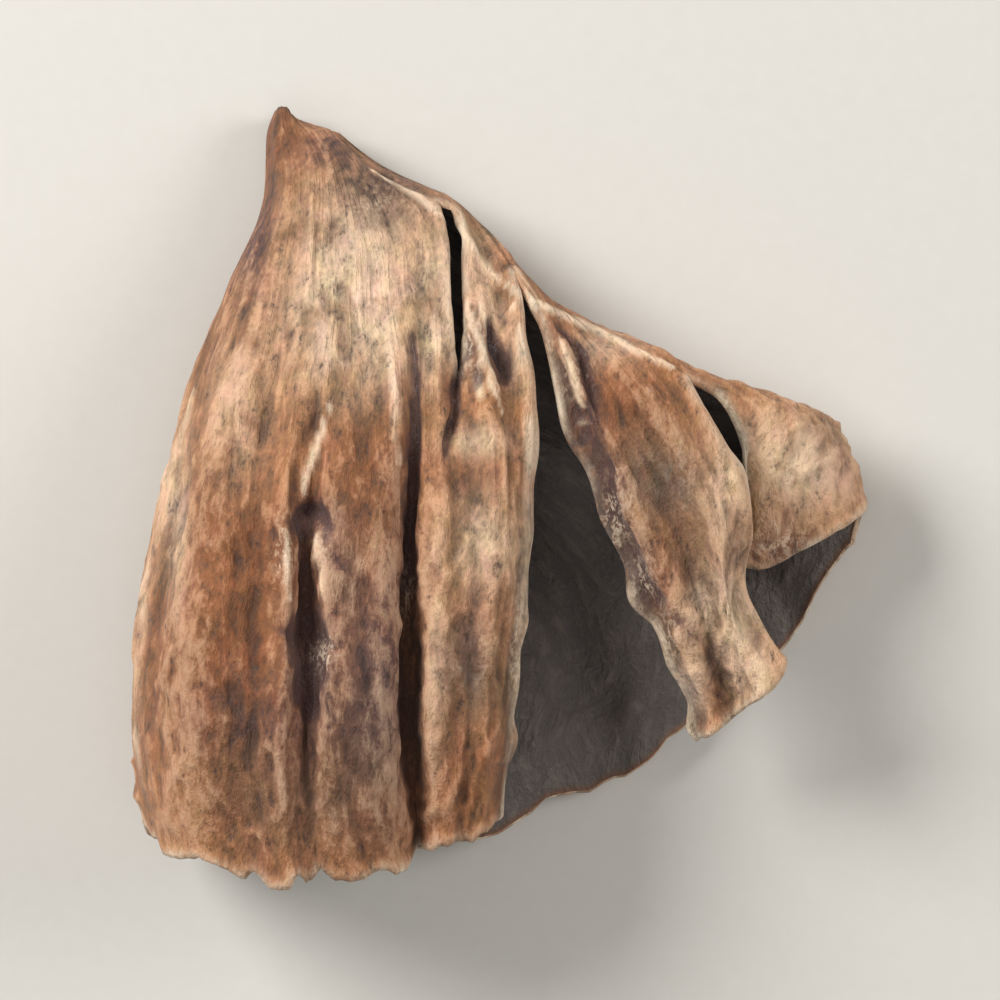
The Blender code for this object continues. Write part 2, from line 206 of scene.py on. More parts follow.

# Lines drawn into the upper side, in the fold lines' millimetres: name, depth, then x, y and half width on the
# way. A line of negative depth is a ridge and gets a painted highlight; a cut line gets painted shade, darker the
# deeper it is cut.
DRAWN_LINES = (
    ("crack", 0.26,
     ((0.62, -11.35, 0.04), (0.3, -12.0, 0.24), (0.34, -12.8, 0.15), (0.36, -13.7, 0.17), (0.4, -14.5, 0.26),
      (0.42, -15.3, 0.8), (0.55, -16.1, 0.62), (0.52, -17.2, 0.5), (0.5, -17.9, 0.1))),
    ("crack's head", 0.3, ((0.1, -12.2, 0.1), (0.4, -11.7, 0.26), (0.85, -11.75, 0.24), (1.15, -12.3, 0.06))),
    ("crack's pit", 0.24, ((-0.45, -15.1, 0.06), (0.1, -15.3, 0.26), (0.8, -15.5, 0.3), (1.35, -15.6, 0.06))),
    ("crack's flap", -0.22, ((0.72, -12.3, 0.05), (0.78, -13.0, 0.14), (0.85, -13.9, 0.12), (0.8, -14.6, 0.04))),
    ("crack's lip", -0.08, ((-0.1, -12.2, 0.05), (-0.16, -13.2, 0.12), (-0.1, -14.3, 0.05))),
    ("short slit", 0.45, ((5.62, -6.2, 0.07), (5.85, -6.9, 0.18), (6.1, -7.5, 0.2), (6.35, -8.1, 0.06))),
    ("slit's tail", 0.35,
     ((4.9, -7.2, 0.1), (4.72, -8.0, 0.16), (4.7, -8.9, 0.11), (4.5, -9.6, 0.13), (4.45, -10.5, 0.04))),
    ("groove", 0.36,
     ((3.42, -6.6, 0.05), (3.46, -7.3, 0.12), (3.48, -9.4, 0.13), (3.4, -11.4, 0.15), (3.3, -12.6, 0.15),
      (3.25, -14.4, 0.06))),
    ("groove's foot", 0.16, ((3.35, -12.6, 0.06), (3.2, -14.6, 0.2), (3.25, -16.8, 0.2), (3.4, -19.5, 0.2))),
    ("crease", 0.28,
     ((7.5, -6.8, 0.05), (8.0, -8.6, 0.12), (8.8, -10.4, 0.12), (9.4, -12.0, 0.2), (10.2, -13.8, 0.24),
      (10.9, -14.8, 0.14), (11.2, -15.2, 0.05))),
    ("crease's foot", 0.18,
     ((10.4, -13.9, 0.06), (10.9, -14.6, 0.16), (11.5, -15.2, 0.15), (12.0, -15.9, 0.12), (12.4, -16.7, 0.12),
      (12.65, -17.3, 0.05))),
    ("lip", -0.14, ((4.55, -3.0, 0.06), (4.45, -4.4, 0.17), (4.4, -5.8, 0.18), (4.55, -7.0, 0.08))),
    ("lip's furrow", 0.12, ((4.15, -3.6, 0.04), (4.05, -4.6, 0.14), (4.05, -5.6, 0.12), (4.2, -6.4, 0.04))),
    ("upper edge", -0.09,
     ((2.2, -1.8, 0.06), (3.5, -2.6, 0.16), (4.8, -3.6, 0.18), (5.8, -4.9, 0.16), (6.7, -5.6, 0.12), (8.3, -6.3, 0.2),
      (9.7, -7.0, 0.18), (11.0, -7.6, 0.06))),
    ("fold's crest", -0.1, ((1.15, -8.4, 0.04), (0.8, -9.5, 0.13), (0.42, -10.7, 0.14), (0.3, -11.4, 0.04))),
    ("groove's crest", -0.07, ((2.75, -6.8, 0.04), (2.95, -8.6, 0.13), (3.0, -10.4, 0.04))),
    ("strand", -0.25, ((4.95, -5.5, 0.04), (5.15, -6.2, 0.14), (5.5, -7.1, 0.16), (5.95, -8.3, 0.05))),
    ("strand", -0.16, ((5.3, -5.3, 0.04), (5.45, -6.0, 0.09), (5.75, -6.8, 0.04))),
    ("strand", -0.2, ((6.35, -5.8, 0.04), (6.5, -6.6, 0.16), (6.6, -7.6, 0.15), (6.7, -8.4, 0.04))),
    ("strand", -0.18, ((5.0, -7.2, 0.04), (5.25, -7.9, 0.11), (5.6, -8.7, 0.04))),
    ("strand", -0.18, ((5.4, -7.4, 0.04), (5.7, -8.1, 0.11), (6.1, -8.9, 0.04))),
    ("strand's furrow", 0.3, ((5.2, -5.6, 0.04), (5.4, -6.4, 0.09), (5.75, -7.5, 0.1), (6.1, -8.2, 0.04))),
    ("strand's furrow", 0.3, ((4.85, -6.1, 0.04), (5.0, -6.8, 0.09), (5.2, -7.6, 0.1), (5.6, -8.6, 0.04))),
    ("left crest", -0.06,
     ((-2.9, -8.2, 0.06), (-3.75, -11.2, 0.24), (-4.2, -13.6, 0.27), (-4.6, -16.2, 0.27), (-4.6, -18.0, 0.22),
      (-4.3, -19.8, 0.06))),
    ("narrow crest", -0.08,
     ((6.75, -7.4, 0.05), (6.85, -8.8, 0.13), (6.8, -10.4, 0.12), (6.75, -12.6, 0.14), (6.5, -15.6, 0.2),
      (6.3, -17.4, 0.16), (6.1, -19.0, 0.05))),
    ("bank's flap", -0.2, ((7.7, -6.7, 0.05), (8.05, -7.6, 0.2), (8.25, -8.4, 0.16), (8.3, -9.2, 0.04))),
    ("bank's furrow", 0.25,
     ((7.5, -6.2, 0.05), (8.3, -7.0, 0.12), (8.65, -8.2, 0.17), (8.9, -9.6, 0.16), (9.2, -11.0, 0.06))),
    ("fold", 0.1, ((-1.2, -5.4, 0.06), (-1.7, -6.6, 0.2), (-2.3, -8.0, 0.2), (-2.6, -9.2, 0.06))),
    ("fold", 0.08, ((0.9, -4.6, 0.06), (0.5, -5.8, 0.16), (0.2, -7.0, 0.06))),
    ("fold", 0.08, ((2.3, -5.0, 0.06), (2.0, -6.2, 0.2), (1.75, -7.6, 0.06))),
    ("fold", 0.09, ((3.3, -3.0, 0.05), (2.5, -3.4, 0.15), (1.7, -3.3, 0.05))),
    ("fold", 0.13, ((-1.75, -7.9, 0.09), (-1.9, -9.0, 0.34), (-1.7, -10.6, 0.29), (-1.6, -12.0, 0.1))),
    ("fold", 0.1, ((-0.9, -7.6, 0.09), (-0.82, -8.6, 0.24), (-0.95, -9.8, 0.09))),
    ("fold", 0.15, ((0.85, -8.2, 0.09), (0.5, -9.4, 0.29), (0.15, -10.6, 0.29), (0.05, -11.6, 0.1))),
    ("fold", 0.12, ((-2.2, -11.6, 0.09), (-2.45, -13.0, 0.31), (-2.4, -14.2, 0.24), (-2.7, -15.2, 0.09))),
    ("fold", 0.1, ((2.0, -9.4, 0.09), (1.85, -10.6, 0.24), (2.05, -12.4, 0.09))),
    ("fold", 0.1, ((2.3, -13.4, 0.09), (2.1, -15.2, 0.27), (2.35, -17.2, 0.09))),
    ("fold", 0.1, ((-1.1, -16.2, 0.09), (-1.3, -17.6, 0.27), (-1.1, -19.2, 0.09))),
    ("fold", 0.1, ((5.2, -12.6, 0.09), (5.35, -14.0, 0.34), (5.1, -15.6, 0.31), (5.15, -17.0, 0.09))),
    ("fold", 0.12, ((9.6, -8.6, 0.09), (10.5, -10.4, 0.29), (11.1, -12.4, 0.27), (11.7, -14.0, 0.09))),
    ("fold", 0.1, ((13.3, -10.4, 0.09), (14.4, -10.9, 0.31), (15.2, -11.8, 0.09))),
)


def smooth_through(knots, values, places):
    """Values read at places from a cubic that passes through values at knots and never overshoots them."""
    widen = (-1,) + (1,) * (values.ndim - 1)
    steps = np.diff(knots).astype(float)
    slopes = np.diff(values, axis=0) / steps.reshape(widen)
    before, after = slopes[:-1], slopes[1:]
    same_way = before * after > 0
    turning = np.where(same_way, 2 * before * after / np.where(same_way, before + after, 1), 0)
    tangents = np.concatenate([slopes[:1], turning, slopes[-1:]])
    span = np.clip(np.searchsorted(knots, places, side="right") - 1, 0, len(steps) - 1)
    step = steps[span].reshape(widen)
    t = (places - knots[span]).reshape(widen) / step
    start = values[span] * (2 * t**3 - 3 * t**2 + 1) + tangents[span] * step * (t**3 - 2 * t**2 + t)
    end = values[span + 1] * (3 * t**2 - 2 * t**3) + tangents[span + 1] * step * (t**3 - t**2)
    return start + end


def size(vectors):
    """Each vector's length."""
    return np.linalg.norm(vectors, axis=-1, keepdims=True)


def fold_line_points():
    """The fold lines' points, in millimetres: line, station, then x, y and height."""
    lines = []
    for _, bearing, _, drawn in FOLD_LINES:
        side, top = math.sin(math.radians(bearing)), math.cos(math.radians(bearing))
        stem_end = (-0.2 + STEM_WIDTH / 2 * side, 0.15 * top, STEM_HEIGHT / 2 * (1 + top) - STEM_FLAT)
        throat = (0.75 + THROAT_WIDTH / 2 * side, -1.9 + 0.3 * side, 0.15 + THROAT_HEIGHT / 2 * (1 + top))
        lines.append([stem_end, throat, *drawn])
    return np.array(lines) * (LENGTH / DRAWN_LENGTH)


def column_places():
    """Each column's place counted in fold lines, and the number of the column that lies on each line."""
    places, on_line = [], {}
    for number, (name, _, columns, _) in enumerate(FOLD_LINES):
        on_line[name] = len(places)
        places += [number + k / columns for k in range(columns)]
    return np.array(places), on_line


def normals_of(grid):
    """The outward directions of a face that meets itself all round."""
    normals = np.cross(np.gradient(grid, axis=1), np.roll(grid, -1, 0) - np.roll(grid, 1, 0))
    return normals / np.maximum(size(normals), 1e-9)


def broad_normals(grid):
    """The wall's outward directions with its narrow pleats smoothed away."""
    for _ in range(6):
        grid = (np.roll(grid, 1, 0) + grid + np.roll(grid, -1, 0)) / 3
    return normals_of(grid)


def wandering(around, along, width, length, seed):
    """Smooth noise for each column and row, in patches of a width and length, that meets itself all round."""
    circumference = around[-1] + around[1]
    turns = circumference / (math.tau * width)
    angles = math.tau * around / circumference
    return np.array([[noise.noise(Vector((turns * math.cos(a), turns * math.sin(a), v / length + seed)))
                      for v in along] for a in angles])[:, :, None]


def outer_face(places, along):
    """The wall's outer face, in millimetres: column, row, then x, y and height."""
    lines = fold_line_points()
    knots = np.arange(-2, len(lines) + 2)
    sections = smooth_through(knots, lines[knots % len(lines)], places)
    grid = np.stack([smooth_through(np.array(STATIONS), line, along) for line in sections])

    # Wrinkles and the ragged rim keep their width where the funnel is wide, and shrink with it to the stem
    spacing = size(np.roll(grid, -1, 0) - grid)
    wide = spacing[:, int(WIDTH_READ_AT * len(along))]
    around = np.cumsum(wide) - wide[:, 0]
    shrink = np.minimum(spacing / wide[:, None], 1)
    wrinkles = WRINKLE * shrink * wandering(around, along, 1.6, 0.35, 0.0)
    rim = np.clip((along - 0.8) / 0.2, 0, 1)[None, :, None] ** 2
    ragged = RAGGED * rim * wandering(around, along * 0, 1.3, 1.0, 20.0)
    outward = np.gradient(grid, axis=1)
    grid = grid + broad_normals(grid) * wrinkles + outward / size(outward) * ragged
    grid[:, :, 2] = np.maximum(grid[:, :, 2], 0)
    return grid


def inner_face(outer, wall):
    """The wall's inner face: each point goes in until it is a wall's thickness from the pleats near it."""
    normals = broad_normals(outer)
    depth = wall
    for way in (1, -1):
        reached, travelled = outer, 0
        for step in range(1, 9):
            following = np.roll(outer, way * step, 0)
            travelled = travelled + size(following - reached)
            reached = following
            alike = (normals * np.roll(normals, way * step, 0)).sum(2, keepdims=True) > 0.6
            rise = ((reached - outer) * normals).sum(2, keepdims=True)
            aside = size(reached - outer) ** 2 - rise**2
            clear = np.sqrt(np.maximum(wall**2 - aside, 0)) - rise
            near = (aside < wall**2) & (travelled < 2.6 * wall) & alike
            depth = np.where(near, np.maximum(depth, clear), depth)
    return even_out(outer - normals * depth)


def even_out(grid):
    """The grid, evened out where its columns crowd together, so that no face folds over another."""
    for _ in range(16):
        before, after = np.roll(grid, 1, 0), np.roll(grid, -1, 0)
        above, below = np.roll(grid, 1, 1), np.roll(grid, -1, 1)
        above[:, 0], below[:, -1] = grid[:, 0], grid[:, -1]
        near = np.clip(1 - np.maximum(size(before - grid), size(after - grid)) / CROWDED, 0, 1)
        grid = (grid + near * (before + after) + 0.5 * near * (above + below)) / (1 + 3 * near)
    return grid


def soft_step(values, low, high):
    """0 below low, 1 above high, and smooth between them."""
    t = np.clip((values - low) / (high - low), 0, 1)
    return t * t * (3 - 2 * t)


def solid_faces():
    """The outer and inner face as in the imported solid, in its frame, and the shift from the fold lines to it."""
    places, on_line = column_places()
    along = np.linspace(0, 1, ROWS)
    outer = outer_face(places, along)
    wall = np.interp(along, (0, 0.15, 0.4, 0.9, 1), (EDGE_WALL, EDGE_WALL, WALL, WALL, EDGE_WALL))
    inner = inner_face(outer, wall[None, :, None])
    low, high = outer.min((0, 1)), outer.max((0, 1))
    middle = np.array(((low[0] + high[0]) / 2, (low[1] + high[1]) / 2, low[2]))
    return outer - middle, inner - middle, middle, on_line


def finer(grid):
    """The grid with FINER points for each column and each row."""
    knots = np.arange(-2, len(grid) + 2)
    wide = smooth_through(knots, grid[knots % len(grid)], np.arange(len(grid) * FINER) / FINER)
    rows = np.arange((ROWS - 1) * FINER + 1) / FINER
    return np.stack([smooth_through(np.arange(ROWS), column, rows) for column in wide])


def read(grid, column, row):
    """The grid's points at places between its columns, which meet all round, and its rows."""
    c, r = np.floor(column).astype(int), np.clip(np.floor(row), 0, grid.shape[1] - 2).astype(int)
    s, t = (column - c)[..., None], (row - r)[..., None]
    c, d = c % len(grid), (c + 1) % len(grid)
    return (grid[c, r] * (1 - s) + grid[d, r] * s) * (1 - t) + (grid[c, r + 1] * (1 - s) + grid[d, r + 1] * s) * t


def wander(places, seed):
    """Smooth noise from -1 to 1 along a row of places."""
    return np.array([noise.noise(Vector((v, seed, 0.0))) for v in places])


def tear_places(along, on_line):
    """The column where each point is read from the finer grid, so that tears end in points, and the torn faces."""
    count = FINER * sum(line[2] for line in FOLD_LINES)
    start = np.arange(count, dtype=float)[:, None]
    column = np.repeat(start, len(along), 1)
    torn = np.zeros((count, len(along) - 1), bool)
    for number, (name, gapes) in enumerate(TEARS):
        left = on_line[name] * FINER
        right, middle = left + FINER, left + FINER / 2
        stations, shares = np.array(gapes).T
        torn[left:right] |= (along[:-1] >= stations[0]) & (along[1:] <= stations[-1] + 1e-6)
        gape = smooth_through(stations, shares, np.clip(along, stations[0], stations[-1]))
        before = soft_step(along, stations[0] - CLOSING, stations[0])
        after = 1.0 if stations[-1] == 1 else soft_step(along, stations[-1] + CLOSING, stations[-1])
        pinch = np.minimum(1 - gape, MOST_CLOSED) * before * after
        aside = np.maximum(left - start, start - right)
        toward = np.where(aside < 0, middle - start,
                          np.sign(middle - start) * FINER / 2 * np.clip(1 - aside / PULLED, 0, 1))
        column += toward * pinch
        for side, reach in ((-1, left - start), (1, start - right)):
            rough = wander(along * 14, 7.0 * number + side)
            rough += 0.5 * wander(along * 30, 3.0 * number + side) * np.clip(1.4 * wander(along * 5, 40 + side), 0, 1)
            near = np.where(reach >= 0, np.clip(1 - reach / FRAYED, 0, 1), 0)
            column += near * rough * ROUGH * np.clip(gape, 0, 1) * before * after
    return column, torn


def rim_places(along, around, kept):
    """How far along each point is read, so that the rim is wavy, notched and frayed, less where more is kept."""
    circle = flow(around, np.zeros(1))[:, 0]
    waves = np.array([0.4 + noise.noise(Vector(p / 2.3 + 4.0)) for p in circle])
    notches = np.array([noise.noise(Vector(p / 0.8)) for p in circle])
    fray = np.array([abs(noise.noise(Vector(p / 0.4 + 9.0))) for p in circle])
    waves, notches = RIM_WAVES * np.clip(waves, 0, 1), RIM_NOTCHES * np.clip(notches - 0.12, 0, 1)
    short = (1 - kept) * (waves + notches) + RIM_FRAY * fray
    return along[None, :] - short[:, None] * soft_step(along, 0.78, 1.0)[None, :] ** 1.5


def flow(around, along):
    """Where each point is in the flesh, in millimetres: round the funnel, then along it, on an even cylinder."""
    circumference = around[-1] + around[1]
    radius, angles = circumference / math.tau, math.tau * around / circumference
    shape = (len(around), len(along))
    return np.stack([np.broadcast_to(radius * np.cos(angles)[:, None], shape),
                     np.broadcast_to(radius * np.sin(angles)[:, None], shape),
                     np.broadcast_to(along[None, :] * LENGTH, shape)], -1)


def noise_at(points, seed=0.0):
    """Smooth noise, about -0.5 to 0.5, at each point."""
    return np.array([noise.noise(Vector(p)) for p in points.reshape(-1, 3) + seed]).reshape(points.shape[:-1])


def net_at(points, seed=0.0):
    """A net of lines, 1 on the line and 0 in its gaps, with gaps about one unit wide."""
    gaps = []
    for p in points.reshape(-1, 3) + seed:
        near = noise.voronoi(Vector(p))[0]
        gaps.append(near[1] - near[0])
    return 1 - soft_step(np.array(gaps).reshape(points.shape[:-1]), 0.0, 0.4)


def drawn_line(flat, points):
    """How far inside a drawn line each place in plan is: 0 at its side and beyond, 1 along its middle."""
    inside = np.zeros(flat.shape[:-1])
    for (ax, ay, aw), (bx, by, bw) in zip(points, points[1:]):
        start, step = np.array((ax, ay)), np.array((bx - ax, by - ay))
        t = np.clip(((flat - start) @ step) / (step @ step), 0, 1)
        away = np.linalg.norm(flat - start - t[..., None] * step, axis=-1)
        inside = np.maximum(inside, 1 - away / (aw + (bw - aw) * t))
    return soft_step(inside, 0.0, 0.9)


def open_edges(quads):
    """The directed edges that only one face has."""
    edges = np.concatenate([np.stack([quads[:, k], quads[:, (k + 1) % 4]], 1) for k in range(4)])
    big = int(edges.max()) + 1
    there, back = edges[:, 0] * big + edges[:, 1], edges[:, 1] * big + edges[:, 0]
    return edges[~np.isin(there, back)]


def distance_to(points, targets):
    """How far each point is from the nearest target."""
    tree = kdtree.KDTree(len(targets))
    for number, target in enumerate(targets):
        tree.insert(target, number)
    tree.balance()
    return np.array([tree.find(p)[2] for p in points.reshape(-1, 3)]).reshape(points.shape[:-1])


def patches(flat, spots):
    """The sum of soft oval patches at places in plan, each given by x, y, two radii and a strength."""
    total = np.zeros(flat.shape[:-1])
    for x, y, wide, long, strength in spots:
        total += strength * np.exp(-((flat[..., 0] - x) / wide) ** 2 - ((flat[..., 1] - y) / long) ** 2)
    return np.clip(total, 0, 1)


# Where the outer face differs from plain tan, in the fold lines' millimetres: x, y, two radii and a share. The
# patches are partly the flesh's own colours and partly painted light: PALE holds painted highlights along lit ridges
# and edges, WARM and PURPLE hold painted shade on flanks turned from the light and a painted shadow on the stem's
# left flank, and GLINTS are painted highlights.
PALE = (
    (1.7, -4.2, 1.8, 2.2, 1.0), (1.7, -6.7, 2.2, 1.7, 0.9), (4.1, -5.6, 0.5, 2.0, 1.0), (-1.7, -8.8, 0.8, 1.8, 0.6),
    (-3.4, -11.6, 0.4, 2.6, 0.8), (5.4, -9.7, 1.0, 0.5, 0.9), (5.4, -12.6, 1.2, 1.5, 0.8),
    (4.1, -16.0, 0.3, 2.6, 0.7), (14.6, -10.4, 1.9, 1.5, 1.0), (12.5, -11.4, 0.6, 1.6, 0.5),
    (12.8, -14.8, 1.0, 1.6, 1.0), (11.4, -17.0, 0.6, 1.1, 1.0), (13.2, -16.6, 0.6, 0.9, 1.0),
    (8.8, -7.0, 1.2, 0.5, 0.6), (5.4, -4.6, 0.45, 1.2, 0.8), (5.8, -6.1, 0.5, 0.7, 0.6),
    (6.4, -7.4, 0.35, 0.9, 0.6), (6.6, -15.0, 0.25, 2.4, 1.0), (11.7, -14.4, 0.6, 0.9, 0.7),
)
WARM = (
    (-0.4, -0.8, 1.0, 1.4, 1.0), (-1.4, -3.8, 0.9, 2.2, 1.0), (-2.2, -7.2, 1.1, 1.5, 1.0),
    (-3.0, -15.8, 1.8, 2.4, 1.0), (-2.3, -11.8, 1.5, 1.9, 0.9), (-0.8, -17.5, 2.6, 3.0, 0.9),
    (2.1, -10.0, 1.2, 2.0, 0.9), (2.0, -14.8, 1.4, 3.4, 1.0), (2.6, -19.6, 3.4, 2.2, 0.9),
    (-0.6, -13.0, 0.9, 1.6, 0.8), (5.4, -10.8, 1.3, 0.6, 1.0), (5.3, -13.7, 0.7, 0.9, 0.8),
    (10.4, -13.4, 0.7, 2.0, 0.5), (9.6, -8.6, 1.4, 0.9, 0.9), (5.3, -5.9, 0.5, 0.5, 0.5),
    (0.9, -12.0, 0.8, 1.0, 0.5), (12.2, -16.2, 0.3, 0.9, 1.0), (15.9, -9.4, 0.7, 0.8, 0.8),
    (16.6, -11.2, 0.5, 0.9, 0.8), (11.6, -15.5, 0.45, 1.0, 1.0),
)
GREY = (
    (2.7, -2.9, 1.2, 0.9, 0.7), (5.1, -16.2, 0.9, 1.5, 1.0), (10.6, -10.8, 1.3, 1.3, 1.0),
    (11.6, -12.8, 0.8, 1.2, 0.5), (5.4, -7.2, 0.5, 0.9, 0.5), (2.4, -17.2, 0.9, 2.2, 0.8),
    (1.6, -13.6, 0.5, 1.6, 0.5), (0.2, -19.8, 3.0, 1.6, 0.5),
)
PURPLE = (
    (5.1, -7.3, 0.3, 0.9, 0.4), (-1.3, -3.7, 0.55, 1.9, 1.0), (2.3, -2.2, 1.2, 0.5, 1.0),
    (1.1, -1.1, 0.9, 0.6, 1.0), (0.7, -11.9, 0.7, 0.5, 1.0), (1.1, -13.0, 0.5, 1.0, 0.8),
    (0.5, -15.6, 0.8, 1.7, 0.9), (2.5, -16.4, 1.0, 3.4, 1.0), (3.1, -11.8, 0.3, 2.0, 0.6),
    (8.3, -8.2, 0.5, 1.6, 1.0), (9.3, -11.4, 0.4, 1.3, 1.0), (10.1, -13.8, 0.45, 1.4, 1.0),
    (11.3, -15.0, 0.3, 0.5, 0.6), (14.0, -12.9, 1.2, 0.6, 1.0), (-0.6, -17.8, 3.0, 1.2, 0.55),
    (-1.1, -2.2, 0.5, 1.6, 0.8), (5.1, -15.8, 0.45, 1.0, 0.7), (8.3, -10.0, 0.4, 1.1, 1.0),
    (8.85, -11.8, 0.4, 1.0, 1.0), (9.5, -13.3, 0.35, 0.7, 0.9), (11.05, -11.05, 0.32, 0.3, 0.8),
    (12.1, -16.3, 0.25, 0.7, 0.6),
)
GLINTS = (
    (-0.2, -12.9, 0.28, 0.9, 0.8), (0.9, -15.8, 0.3, 0.5, 1.0), (0.8, -12.9, 0.2, 0.6, 0.6),
    (9.25, -12.0, 0.33, 1.1, 0.9), (10.1, -13.8, 0.35, 0.9, 0.8), (10.9, -15.4, 0.4, 0.9, 0.5),
    (7.15, -7.8, 0.3, 1.0, 1.0), (8.1, -7.8, 0.3, 0.6, 0.7), (5.1, -6.8, 0.4, 0.8, 0.7),
    (3.2, -14.0, 0.3, 0.8, 0.5), (14.0, -12.6, 0.9, 0.5, 0.8), (2.2, -2.8, 0.8, 0.5, 0.3),
    (6.5, -16.0, 0.25, 1.6, 0.9),
)


def reshape_lobes(outer, inner, flat, on_line, along):
    """Move both faces where the lobes' ends and the first groove differ from the fold lines."""
    number = np.arange(len(outer))

    # The tongue has a waist above its flared end
    on_tongue = (outer[..., 2] > 2.4) & (number > on_line["tongue crease"] * FINER)[:, None]
    waist = np.exp(-((flat[..., 1] + 13.9) / 1.2) ** 2) * soft_step(flat[..., 0], 12.0, 13.6) * on_tongue
    flare = np.exp(-((flat[..., 1] + 16.6) / 0.9) ** 2) * soft_step(flat[..., 0], 12.4, 13.6) * on_tongue

    # The end is cut off slanting to a point at its left, so its rim is evened out
    margin = (number > on_line["split right"] * FINER - 1)[:, None] & (outer[..., 2] > 2.0)
    point = np.exp(-((flat[..., 0] - 10.8) / 0.8) ** 2 - ((flat[..., 1] + 17.9) / 1.0) ** 2) * margin
    tongue = slice(on_line["split right"] * FINER, on_line["tongue lip"] * FINER + 1)
    way = np.gradient(outer[tongue], axis=1)
    way /= size(way)
    even = outer[tongue].copy()
    for _ in range(24):
        even[1:-1] = (even[:-2] + even[1:-1] + even[2:]) / 3
    evened = ((even - outer[tongue]) * way).sum(-1, keepdims=True) * way * soft_step(along, 0.84, 1.0)[:, None]

    # The side lobe hangs lower at its left end, and the first groove is nearly closed in its upper half
    from_lip = (number - (on_line["side lip"] + 0.5) * FINER) / FINER
    lappet = np.exp(-(from_lip / 1.6) ** 2)[:, None] * soft_step(along, 0.8, 1.0)[None, :]
    from_groove = (number - on_line["first groove"] * FINER) / FINER
    closed = soft_step(along, 0.2, 0.32) * (1 - soft_step(along, 0.44, 0.62))
    filled = GROOVE_FILL * np.exp(-(from_groove / 0.75) ** 2)[:, None] * closed

    for face in (outer, inner):
        face[tongue] += 0.85 * evened
        face[..., 0] += FLARE * flare - WAIST * waist + POINT * point
        face[..., 2] += FLARE_LIFT * flare
        face += lappet[..., None] * LAPPET
        face[..., 2] += filled


def lines_drawn(look, places, jagged, upper):
    """What the drawn lines give each place: how deep it is cut, how high raised, how dark its painted shade
    and how pale its painted highlight.
    """
    cut, raised, dark, pale = (np.zeros(upper.shape) for _ in range(4))
    for name, depth, points in DRAWN_LINES:
        main = name == "crack"
        inside = drawn_line(places + jagged * (1.6 if main else 0.6), points) * upper
        # A raised line is painted pale, as a painted highlight
        if depth < 0:
            pale = np.maximum(pale, inside)
            raised = np.maximum(raised, -inside * depth)
        else:
            cut = np.maximum(cut, inside * depth * (look.crack / MM / depth if main else 1))
            # Painted shade: a cut line is painted darker the deeper it is
            strength = 3.5 * (depth - 0.12) if depth < 0.4 else 1.8
            dark = np.maximum(dark, np.clip(inside * strength, 0, 1))
    return cut, raised, dark, pale


